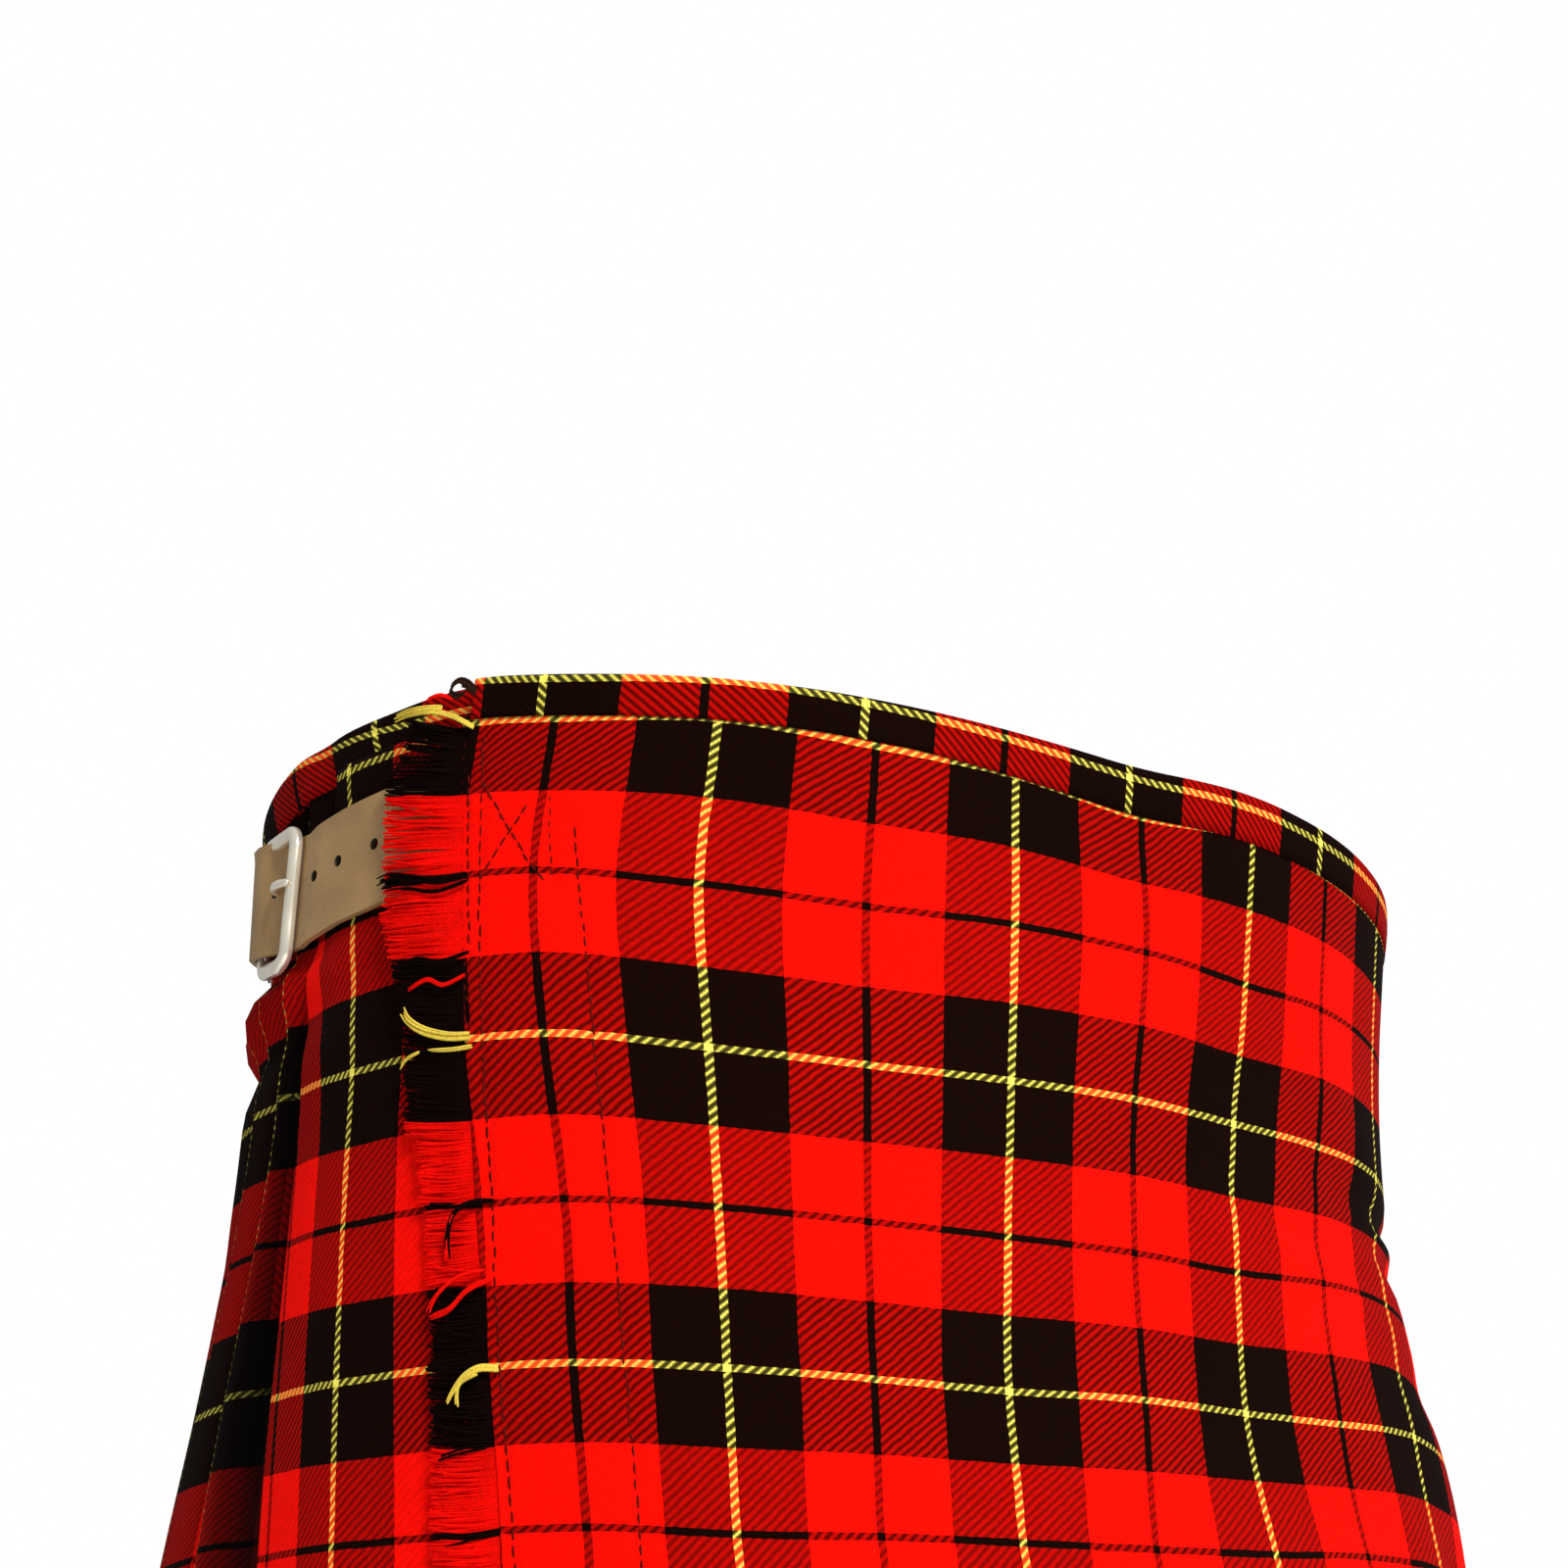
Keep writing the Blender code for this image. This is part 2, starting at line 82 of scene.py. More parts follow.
# %% Levels of the body form
MM = 0.001
SETT = 80.0
KILT_DROP = 600.0
FORM = np.array([  # drop, half width, half depth, squareness, shift to the back
    (-20.0, 164.0, 123.8, 2.50, 0.0),
    (0.0, 163.2, 121.4, 2.50, 0.0),
    (40.0, 161.7, 117.3, 2.44, -0.7),
    (80.0, 161.5, 118.3, 2.38, -1.4),
    (120.0, 162.5, 124.6, 2.32, -2.1),
    (160.0, 164.8, 136.0, 2.26, -2.8),
    (200.0, 168.3, 150.6, 2.20, -2.8),
    (240.0, 172.4, 160.5, 2.18, -0.5),
    (300.0, 178.4, 168.5, 2.16, 4.5),
    (400.0, 190.0, 176.0, 2.14, 10.0),
    (500.0, 201.0, 182.0, 2.12, 15.0),
    (600.0, 211.0, 187.0, 2.10, 19.0),
    (620.0, 213.0, 188.0, 2.10, 20.0)])
SMOOTHING = 14.0
OUTLINE_POINTS = 1441


def eased(table, drop, which):
    """One column of a table at a drop, with its corners rounded off."""
    taps = drop + SMOOTHING * np.array((-1.0, -0.5, 0.0, 0.5, 1.0))
    return float(np.interp(taps, table[:, 0], table[:, which]).mean())


outlines = {}


def outline(drop):
    """The oval at one drop: x, y and arc of its points, and its girth."""
    key = round(drop, 2)
    if key not in outlines:
        half_width, half_depth, square, shift = [eased(FORM, drop, k) for k in (1, 2, 3, 4)]
        turn = np.linspace(-np.pi, np.pi, OUTLINE_POINTS)
        across, along = np.sin(turn), np.cos(turn)
        x = half_width * np.sign(across) * np.abs(across) ** (2.0 / square)
        y = shift - half_depth * np.sign(along) * np.abs(along) ** (2.0 / square)
        arc = np.concatenate([[0.0], np.cumsum(np.hypot(np.diff(x), np.diff(y)))])
        outlines[key] = (x, y, arc - arc[-1] / 2.0, arc[-1])
    return outlines[key]


print("waist round the seam", round(outline(0.0)[3]), "mm, hem", round(outline(600.0)[3]), "mm")

# %% [markdown]
# ## Soft folds
# Cloth that is pulled in at the hips buckles, and cloth that hangs free falls in long
# shallow waves.  Each fold here is one soft ridge or trough with its own place, length,
# width, direction and height.  Every layer of the kilt takes the same folds, so the
# layers stay parallel and never cut each other.

# %% Folds placed one by one
HIP_FOLDS = [  # arc, drop, reach along, reach down, slope, height
    (146.0, 83.0, 52.0, 5.0, 0.02, -3.0),
    (156.0, 89.0, 44.0, 3.4, 0.04, 1.8),
    (158.0, 95.5, 46.0, 5.5, 0.06, -3.6),
    (140.0, 128.0, 34.0, 8.0, -0.10, -1.5),
    (205.0, 30.0, 50.0, 75.0, 0.0, -4.2),
    (95.0, 62.0, 30.0, 16.0, 0.30, 1.4),
    (60.0, 170.0, 40.0, 26.0, 0.20, -1.2),
    (-292.0, 60.5, 60.0, 8.0, 0.0, -4.2),
    (-200.0, 62.0, 26.0, 9.0, -0.30, 1.0),
    (225.0, 98.0, 40.0, 9.0, -0.08, -2.4),
    (-276.0, 26.0, 50.0, 24.0, 0.0, -5.2),
    (-288.0, -5.0, 45.0, 22.0, 0.0, -3.0),
    (-288.0, 48.0, 50.0, 10.0, 0.0, 4.1),
    (-288.0, 200.0, 70.0, 70.0, 0.0, 4.5),
    (150.0, 156.0, 70.0, 48.0, 0.0, 6.8)]
SOFT_CREASES = [  # arc, drop, half length, half width, direction, height
    (62.0, 96.0, 44.0, 7.0, 12.0, -0.9),
    (84.0, 112.0, 36.0, 6.0, 8.0, 0.8),
    (24.0, 58.0, 30.0, 8.0, -18.0, 0.5),
    (-70.0, 176.0, 52.0, 12.0, 5.0, 0.7),
    (-18.0, 236.0, 60.0, 13.0, -8.0, -0.9),
    (104.0, 214.0, 64.0, 12.0, 74.0, 1.3),
    (128.0, 196.0, 52.0, 8.0, 66.0, -1.2),
    (2.0, 400.0, 150.0, 20.0, 87.0, 2.2),
    (-92.0, 430.0, 140.0, 18.0, 92.0, -1.9),
    (148.0, 420.0, 150.0, 22.0, 84.0, -2.1),
    (214.0, 440.0, 150.0, 18.0, 94.0, 1.8),
    (70.0, 470.0, 110.0, 16.0, 90.0, -1.5),
    (252.0, 150.0, 40.0, 10.0, 60.0, 0.9),
    (330.0, 120.0, 50.0, 9.0, 14.0, -1.6),
    (372.0, 142.0, 46.0, 10.0, -10.0, 1.1),
    (-352.0, 112.0, 56.0, 9.0, -6.0, -1.4),
    (-392.0, 138.0, 44.0, 10.0, 12.0, 1.0),
    (430.0, 100.0, 40.0, 8.0, 5.0, -1.0)]
CREASE_BEND = 0.0016
HIP_START = 200.0
HELD_MIDDLE = ((-276.0, -256.0), (20.5, 26.5))  # arc, drop of the strap's middle
HELD_HALF = 13.5
HELD_SHARE = 0.12


def signed_gap(arcs, middle, girth):
    """How far arcs lie from a place, the short way round."""
    return (arcs - middle + girth / 2.0) % girth - girth / 2.0


def soft_step(share):
    """From nought to one with soft ends."""
    share = np.clip(share, 0.0, 1.0)
    return share * share * (3.0 - 2.0 * share)


def held_drop(arcs, drop, girth):
    """Drops read by the hip folds: a strap holds the cloth beneath it flat."""
    wrapped = signed_gap(arcs, 0.0, girth)
    middle = np.interp(wrapped, *HELD_MIDDLE)
    off = drop - middle
    slack = soft_step((abs(off) - HELD_HALF) / 8.0)
    held = middle + off * (HELD_SHARE + (1.0 - HELD_SHARE) * slack)
    hip = soft_step((np.abs(wrapped) - HIP_START) / 22.0)
    return drop + (held - drop) * hip


def fold_height(arcs, drop):
    """Height of all the folds along one level."""
    girth = outline(drop)[3]
    height = np.zeros_like(arcs)
    flat_drop = held_drop(arcs, drop, girth)
    for arc0, drop0, reach, depth, slope, tall in HIP_FOLDS:
        side = signed_gap(arcs, arc0, girth)
        down = flat_drop - drop0 - slope * side
        height += tall * np.exp(-(side / reach) ** 2 - (down / depth) ** 2)
    for arc0, drop0, half_long, half_wide, direction, tall in SOFT_CREASES:
        side = signed_gap(arcs, arc0, girth)
        turn = math.radians(direction)
        along = side * math.cos(turn) + (drop - drop0) * math.sin(turn)
        across = (drop - drop0) * math.cos(turn) - side * math.sin(turn)
        across -= CREASE_BEND * along ** 2
        height += tall * np.exp(-(along / half_long) ** 2 - (across / half_wide) ** 2)
    return height


WAIST_RISE = np.array([  # arc, rise of the seam
    (-330.0, 0.0), (-300.0, 0.5), (-265.0, 2.0), (-230.0, 3.0), (-172.0, 3.0),
    (-150.0, 0.8), (-130.0, 0.0), (14.0, 0.0), (34.0, 2.4), (54.0, 4.0),
    (94.0, 3.8), (130.0, 2.2), (170.0, 0.8), (210.0, 0.0)])
RISE_REACH = 45.0


def waist_rise(arcs, drop):
    """How far the cloth near the waist is drawn up."""
    wrapped = signed_gap(arcs, 0.0, outline(drop)[3])
    total = np.zeros_like(arcs)
    for tap in (-9.0, -3.0, 3.0, 9.0):
        total += np.interp(wrapped + tap, WAIST_RISE[:, 0], WAIST_RISE[:, 1]) / 4.0
    return total * math.exp(-(max(drop, 0.0) / RISE_REACH) ** 2)


print("folds", len(HIP_FOLDS) + len(SOFT_CREASES))

# %% [markdown]
# ## From the cloth to the room
# Every piece below is laid out in arc, drop and lift, as a maker would mark it on the
# cloth.  One function turns those into places in metres.  It steps a little to each side
# on the oval to find which way leads straight off the cloth, and moves out that way by
# the lift and by the height of the folds.

# %% Turn arc, drop and lift into places in metres
SIDE_STEP = 2.5


def level(arcs, drop, lifts):
    """Points of the cloth at one drop, as rows of x, y and z in metres."""
    arcs = np.asarray(arcs, float)
    x, y, arc, girth = outline(drop)

    def on_oval(here):
        wrapped = signed_gap(here, 0.0, girth)
        return np.interp(wrapped, arc, x), np.interp(wrapped, arc, y)

    x0, y0 = on_oval(arcs - SIDE_STEP)
    x1, y1 = on_oval(arcs + SIDE_STEP)
    px, py = on_oval(arcs)
    length = np.hypot(x1 - x0, y1 - y0)
    full = np.asarray(lifts, float) + fold_height(arcs, drop)
    out = np.stack([px + (y1 - y0) / length * full, py - (x1 - x0) / length * full,
                    waist_rise(arcs, drop) - drop], axis=-1)
    return out * MM


def spot(arc, drop, lift):
    """One point of the cloth as a vector."""
    return Vector(level([arc], drop, [lift])[0])


def outward(arc, drop):
    """Direction straight off the cloth at a point."""
    return (spot(arc, drop, 5.0) - spot(arc, drop, 0.0)).normalized()


print("front centre of the seam", [round(value, 4) for value in spot(0.0, 0.0, 0.0)])

# %% [markdown]
# ## The tartan
# A tartan is woven.  The same list of stripes runs along the cloth and across it, and
# where two colours cross, a twill mixes them in fine slanting lines.  A shader can weave
# it for us: one number counts the warp threads and another the weft threads, a ping-pong
# of each finds the stripe it falls in, and their sum tells which thread lies on top.
# The counts come from the piece's own UV map, whose unit is one repeat of the pattern.

# %% Colours of the wool
WARP_THREADS = 108
WEFT_THREADS = 132
RED = (0.90, 0.0030, 0.0006, 1.0)
BLACK = (0.0050, 0.0009, 0.0002, 1.0)
YELLOW = (0.86, 0.76, 0.115, 1.0)


class Graph:
    """Short calls for adding nodes to a material."""

    def __init__(self, name):
        self.material = bpy.data.materials.new(name)
        self.material.use_nodes = True
        self.tree = self.material.node_tree
        self.shader = self.tree.nodes["Principled BSDF"]

    def node(self, kind, **settings):
        made = self.tree.nodes.new(kind)
        for key, value in settings.items():
            setattr(made, key, value)
        return made

    def feed(self, socket, value):
        if isinstance(value, (int, float, tuple)):
            socket.default_value = value
        else:
            self.tree.links.new(value, socket)

    def math(self, operation, first, second=None, third=None):
        made = self.node("ShaderNodeMath", operation=operation)
        for socket, value in zip(made.inputs, (first, second, third)):
            if value is not None:
                self.feed(socket, value)
        return made.outputs[0]

    def times(self, value, factor, plus=None):
        """A value times a factor, and plus a third where one is given."""
        return self.math("MULTIPLY" if plus is None else "MULTIPLY_ADD", value, factor, plus)

    def wave(self, value, factor):
        """A value that runs up and down between nought and one."""
        return self.math("PINGPONG", self.times(value, factor), 1.0)

    def mix(self, share, first, second):
        made = self.node("ShaderNodeMix", data_type="RGBA")
        self.feed(made.inputs["Factor"], share)
        self.feed(made.inputs["A"], first)
        self.feed(made.inputs["B"], second)
        return made.outputs["Result"]

    def channels(self, colour):
        """The red and the green of a colour."""
        made = self.node("ShaderNodeSeparateColor")
        self.feed(made.inputs["Color"], colour)
        return made.outputs["Red"], made.outputs["Green"]

    def shade(self, colour, dark):
        """A colour multiplied by a number."""
        made = self.node("ShaderNodeVectorMath", operation="SCALE")
        self.feed(made.inputs["Vector"], colour[:3] if isinstance(colour, tuple) else colour)
        self.feed(made.inputs["Scale"], dark)
        return made.outputs["Vector"]

    def paint(self, colour, light):
        """A colour times a number, as the colour of the surface."""
        self.feed(self.shader.inputs["Base Color"], self.shade(colour, light))

    def place(self):
        """Place on the object, in metres."""
        return self.node("ShaderNodeTexCoord").outputs["Object"]

    def noise(self, vector, scale, detail, roughness=0.5):
        made = self.node("ShaderNodeTexNoise")
        self.feed(made.inputs["Vector"], vector)
        made.inputs["Scale"].default_value = scale
        made.inputs["Detail"].default_value = detail
        made.inputs["Roughness"].default_value = roughness
        return made.outputs["Fac"]

    def between(self, value, low, high, out_low, out_high):
        made = self.node("ShaderNodeMapRange")
        self.feed(made.inputs["Value"], value)
        for key, number in zip(("From Min", "From Max", "To Min", "To Max"),
                               (low, high, out_low, out_high)):
            made.inputs[key].default_value = number
        return made.outputs["Result"]

    def vary(self, noise, low, high):
        """The middle part of a noise, spread from low to high."""
        return self.between(noise, 0.3, 0.7, low, high)

    def bump(self, height, strength, distance):
        made = self.node("ShaderNodeBump")
        made.inputs["Strength"].default_value = strength
        made.inputs["Distance"].default_value = distance
        self.feed(made.inputs["Height"], height)
        self.tree.links.new(made.outputs["Normal"], self.shader.inputs["Normal"])

    def finish(self, roughness, metallic=0.0, specular=0.5, sheen=0.0):
        self.shader.inputs["Roughness"].default_value = roughness
        self.shader.inputs["Metallic"].default_value = metallic
        self.shader.inputs["Specular IOR Level"].default_value = specular
        self.shader.inputs["Sheen Weight"].default_value = sheen
        self.shader.inputs["Sheen Roughness"].default_value = 0.4
        return self.material


print("stripes of red", RED[:3], "black", BLACK[:3], "and yellow", YELLOW[:3])

# %% [markdown]
# ## Weaving in a shader
# Each thread takes one colour from a short ramp of the stripes.  A wave across the
# threads then says where the warp lies on top, which gives the slanting lines of twill.
# Where red crosses black the cloth looks darker than either alone would make it, because
# each thread shades the next, so the mixed blocks are dimmed with painted shade.  Round
# threads, darker in their hollows and along the twill lines as painted shade, small flecks
# and slow clouds of light and dark keep it from looking printed.

# %% Weave the tartan in a material
WARP_STRIPES = (1.5, 26.5, 52.5)  # threads past the yellow where each colour ends
WEFT_STRIPES = (1.5, 32.5, 64.5)
RIDGE_SHARE = 0.7
NARROW_SHARE = 0.26
MIXED_DIM = -0.43


def stripe_colour(graph, place, half, yellow_end, first_black_end, red_end):
    """Colour of a thread from its place in the repeat, mirrored about the yellow."""
    ping = graph.math("PINGPONG", place, float(half))
    ramp = graph.node("ShaderNodeValToRGB")
    ramp.color_ramp.interpolation = "CONSTANT"
    graph.feed(ramp.inputs["Fac"], graph.math("DIVIDE", ping, float(half)))
    stops = ramp.color_ramp.elements
    stops[0].position, stops[0].color = 0.0, YELLOW
    stops[1].position, stops[1].color = yellow_end / half, BLACK
    for share, colour in ((first_black_end / half, RED), (red_end / half, BLACK)):
        stops.new(share).color = colour
    return ramp.outputs["Color"]


def tartan(name, slant, painted_shade_level=1.0, shaded=False):
    """Twill cloth in the tartan.  Slant is 1 where its lines rise to the right, and tone darkens a
    whole copy as painted shade.
    """
    graph = Graph(name)
    uv = graph.node("ShaderNodeUVMap", uv_map="threads").outputs["UV"]
    split = graph.node("ShaderNodeSeparateXYZ")
    graph.feed(split.inputs[0], uv)
    place = graph.place()
    wobble = graph.vary(graph.noise(place, 260.0, 1.0), -0.16, 0.16)
    warp_place = graph.times(split.outputs["X"], float(WARP_THREADS), wobble)
    weft_place = graph.times(split.outputs["Y"], float(WEFT_THREADS), wobble)
    warp_thread = graph.math("ROUND", warp_place)
    weft_thread = graph.math("ROUND", weft_place)
    warp = stripe_colour(graph, warp_thread, WARP_THREADS / 2, *WARP_STRIPES)
    weft = stripe_colour(graph, weft_thread, WEFT_THREADS / 2, *WEFT_STRIPES)
    # a smooth wave and a stepped one together give twill lines with threads in them
    ridge = graph.wave(graph.times(weft_place, float(slant), warp_place), 0.5)
    wale = graph.wave(graph.times(weft_thread, float(slant), warp_thread), 0.5)
    blend = graph.times(wale, 1.0 - RIDGE_SHARE, graph.times(ridge, RIDGE_SHARE))
    # green is high in the yellow alone, and red minus green in the red alone
    warp_red, warp_green = graph.channels(warp)
    weft_red, weft_green = graph.channels(weft)
    narrow = graph.math("SUBTRACT", weft_green, warp_green)
    blend = graph.times(narrow, NARROW_SHARE, blend)
    unlike = graph.math("ABSOLUTE", graph.math("SUBTRACT", graph.math(
        "SUBTRACT", warp_red, warp_green), graph.math("SUBTRACT", weft_red, weft_green)))
    plain = graph.math("SUBTRACT", 1.0, graph.math("MAXIMUM", warp_green, weft_green))
    mixed = graph.times(unlike, plain)
    swing = graph.times(mixed, -0.40, 0.92)
    warp_on_top = graph.times(graph.between(blend, 0.20, 0.80, -0.5, 0.5), swing,
                              graph.times(mixed, -0.08, 0.5))
    colour = graph.shade(graph.mix(warp_on_top, weft, warp),
                         graph.times(mixed, MIXED_DIM, 1.0))
    thread_round = graph.times(graph.wave(warp_place, 2.0), graph.wave(weft_place, 2.0))
    height = graph.times(thread_round, 0.35, ridge)
    light = graph.times(graph.vary(graph.noise(place, 900.0, 2.0, 0.7), 0.86, 1.10),
                        graph.vary(graph.noise(place, 22.0, 2.0), 0.94, 1.04))
    # painted shade: the colour is darker where the round threads and the twill lines dip
    light = graph.times(light, graph.between(height, 0.0, 1.2, 0.86 * painted_shade_level, 1.05 * painted_shade_level))
    # painted shade: the colour is multiplied by each point's "depth" attribute
    if shaded:
        depth = graph.node("ShaderNodeAttribute", attribute_name="depth").outputs["Fac"]
        light = graph.times(light, depth)
    graph.paint(colour, light)
    graph.bump(height, 0.5, 0.0003)
    return graph.finish(0.95, specular=0.03, sheen=0.006)


face_tartan = tartan("tartan_twill", 1)
# the pleats take a copy darkened as painted shade, and painted shade per point as well
pleat_tartan_painted_shade = tartan("tartan_twill_pleats_painted_shade", 1, 0.95, True)
band_tartan = tartan("tartan_twill_band", -1)
print("repeat", SETT, "mm, warp thread", round(SETT / WARP_THREADS, 2), "mm, weft thread",
      round(SETT / WEFT_THREADS, 2), "mm")

# %% [markdown]
# ## How the pattern lies on the hanging cloth
# The stripes are straight in the cloth on the loom, but not on the wearer.  The cloth is
# eased over the hips and drawn up at the waist, so the stripes wander.  Two small tables
# say how far the pattern stands from its even place, at six levels and every half repeat.
# A smooth curve through each row of the table carries that to every point of the panel.

# %% Drift of the stripes
FIRST_YELLOW = -105.4
DRIFT_STRIPES = (-0.5, 3.0)  # first and last column of the tables
DRIFT_STEPS = 2.0  # columns and rows to a repeat
ALONG_DRIFT = np.array([
    (-2.3, -1.8, -1.0, -1.0, -0.6, 0.0, -6.9, -9.0),
    (-3.9, -3.1, -0.9, 1.1, 2.8, -1.5, -7.6, -9.0),
    (0.4, 0.0, -0.8, -1.1, -2.7, -8.3, -12.6, -13.0),
    (4.5, 0.3, -4.0, -7.1, -9.1, -14.7, -19.9, -21.0),
    (2.8, -2.3, -8.7, -15.0, -15.6, -22.6, -25.9, -27.0),
    (1.4, -5.5, -13.5, -19.7, -23.7, -25.3, -27.8, -29.0)])
DOWN_DRIFT = np.array([
    (1.1, -0.1, 1.5, -0.2, 0.4, -0.9, -0.3, 0.0),
    (-2.7, 0.2, 0.9, -2.4, -4.2, -2.5, -4.8, -6.0),
    (-1.4, 1.7, 1.9, -0.8, -3.7, -4.5, -6.9, -9.0),
    (0.7, 2.1, 2.5, 1.1, -1.5, -3.0, -7.5, -11.0),
    (0.9, 2.0, 2.3, 1.4, -2.3, -4.4, -8.3, -13.0),
    (-0.5, 0.9, -0.1, -1.7, -4.4, -8.5, -13.9, -17.0)])


def smooth_between(table, place):
    """Values on the smooth curve through the rows of a table, at row numbers."""
    last = len(table) - 1
    place = np.clip(place, 0.0, last)
    low = np.minimum(np.floor(place).astype(int), last - 1)
    share = place - low
    before, here = table[np.maximum(low - 1, 0)], table[low]
    after, beyond = table[low + 1], table[np.minimum(low + 2, last)]
    if table.ndim > 1:
        share = share[:, None]
    return here + 0.5 * share * (after - before + share * (
        2 * before - 5 * here + 4 * after - beyond + share * (
            3 * (here - after) + beyond - before)))


def drift(table, columns, rows):
    """A drift table read at arrays of stripe and level numbers."""
    lines = smooth_between(table, rows * DRIFT_STEPS)
    at = (np.clip(columns, *DRIFT_STRIPES) - DRIFT_STRIPES[0]) * DRIFT_STEPS
    return np.array([smooth_between(line, np.array([k]))[0] for line, k in zip(lines, at)])


SEAM_TUCK = ((12.0, 31.0, 45.0), (2.2, 0.4, 0.0))  # drop, rise of the pattern
OPENING = ((-60.0, 10.0), (1.0, 0.0))  # arc, nearness to the fringed edge
UNDER_TIGHT = ((60.0, 95.0), (1.36, 1.8))  # drop, crowding past the under apron's stripe


def near_opening(arcs):
    """One beside the fringed edge and none past the front centre."""
    return np.interp(arcs, *OPENING)


def front_threads(arcs, drop):
    """Pattern place of points of the over apron, in repeats."""
    columns = (arcs - FIRST_YELLOW) / SETT
    rows = np.full_like(columns, drop / SETT)
    for step in range(4):
        along = drift(ALONG_DRIFT, columns, rows)
        down = drift(DOWN_DRIFT, columns, rows)
        columns = (arcs - along - FIRST_YELLOW) / SETT
        rows = (drop + np.interp(drop, *SEAM_TUCK) * near_opening(arcs) - down) / SETT
    return columns, rows


UNDER_YELLOW = np.array([  # drop, arc of the under apron's yellow stripe
    (-20.0, -221.0), (3.0, -219.5), (13.0, -217.0), (41.0, -210.6), (66.0, -205.5),
    (79.0, -206.0), (119.0, -207.9), (159.0, -210.7), (200.0, -214.0), (620.0, -222.0)])


def under_threads(arcs, drop):
    """Pattern place of points of the under apron."""
    yellow = eased(UNDER_YELLOW, drop, 1)
    columns = (arcs - yellow) / SETT
    columns *= np.where(columns < 0.0, np.interp(drop, *UNDER_TIGHT), 1.06)
    return columns, np.full_like(arcs, (drop + 0.8) / SETT)


print("drift of the stripes up to", np.abs(ALONG_DRIFT).max(), "mm")

# %% [markdown]
# ## Shells of cloth
# A cloth is far wider than it is thick, so a grid makes it: one operator lays the grid,
# its points move to their places on the body, and a Solidify modifier gives it its wall.
# The grid lines lie close together at the edges, which leaves a small soft rounding there
# as on a pressed edge.  The same loop writes the UV map that the tartan reads.

# %% A grid of points becomes a cloth
WALL = 1.2
EDGE_MARKS = (0.4, 1.2)
kilt = bpy.data.collections.new("kilt_looks")
bpy.context.scene.collection.children.link(kilt)


def mesh_of(shape, name):
    """The mesh of a finished bmesh, which is then freed."""
    mesh = bpy.data.meshes.new(name)
    shape.to_mesh(mesh)
    shape.free()
    return mesh


def show(name, mesh, *materials):
    """A finished mesh as an object of the kilt, smooth shaded."""
    obj = bpy.data.objects.new(name, mesh)
    kilt.objects.link(obj)
    for one in materials:
        mesh.materials.append(one)
    mesh.polygons.foreach_set("use_smooth", [True] * len(mesh.polygons))
    return obj


def cloth(name, places, threads, material, wall=WALL, painted_shades=None):
    """Cloth through a grid of places (rows, columns, 3), with its UV map and any painted shade per
    point.
    """
    rows, columns = places.shape[:2]
    shape = bmesh.new()
    bmesh.ops.create_grid(shape, x_segments=columns - 1, y_segments=rows - 1, size=0.5)
    uv = shape.loops.layers.uv.new("threads")
    if painted_shades is not None:
        # painted shade per point, kept as the "depth" attribute that the pleats' tartan reads
        painted_shade_layer = shape.verts.layers.float.new("depth")
    spots = {}
    for vert in shape.verts:
        j = round((vert.co.x + 0.5) * (columns - 1))
        i = round((0.5 - vert.co.y) * (rows - 1))
        spots[vert] = (i, j)
        vert.co = places[i, j]
        if painted_shades is not None:
            vert[painted_shade_layer] = painted_shades[i, j]
    for face in shape.faces:
        for loop in face.loops:
            loop[uv].uv = threads[spots[loop.vert]]
    bmesh.ops.recalc_face_normals(shape, faces=shape.faces[:])
    obj = show(name, mesh_of(shape, name), material)
    thick = obj.modifiers.new("wall", "SOLIDIFY")
    thick.thickness = wall * MM
    thick.offset = 0.0
    thick.use_even_offset = True
    print(name, rows, "by", columns, "points")
    return obj


def spread(first, last, count, fine=0.0, fine_count=0):
    """Positions from edge to edge, close at both edges and over the first stretch."""
    way = 1.0 if last > first else -1.0
    length = abs(last - first)
    close, inside = EDGE_MARKS
    marks = [0.0, close, inside]
    if fine_count:
        marks += list(np.linspace(inside, fine, fine_count + 1)[1:])
    marks += list(np.linspace(marks[-1], length - inside, count + 1)[1:])
    marks += [length - close, length]
    return first + way * np.array(marks)


DROPS = np.concatenate([[-3.0, -1.0], spread(0.0, KILT_DROP, 166)])
print("levels of an apron", len(DROPS))

# %% [markdown]
# ## The over apron
# The over apron is the flat front panel.  Its edge at the wearer's right hip ends in the
# fringe, and its other edge turns the left hip.  It is sewn to the waistband along the
# top only.  The columns of its grid are closest near the fringed edge, so that the lines
# of sewing there can press small grooves into the cloth.

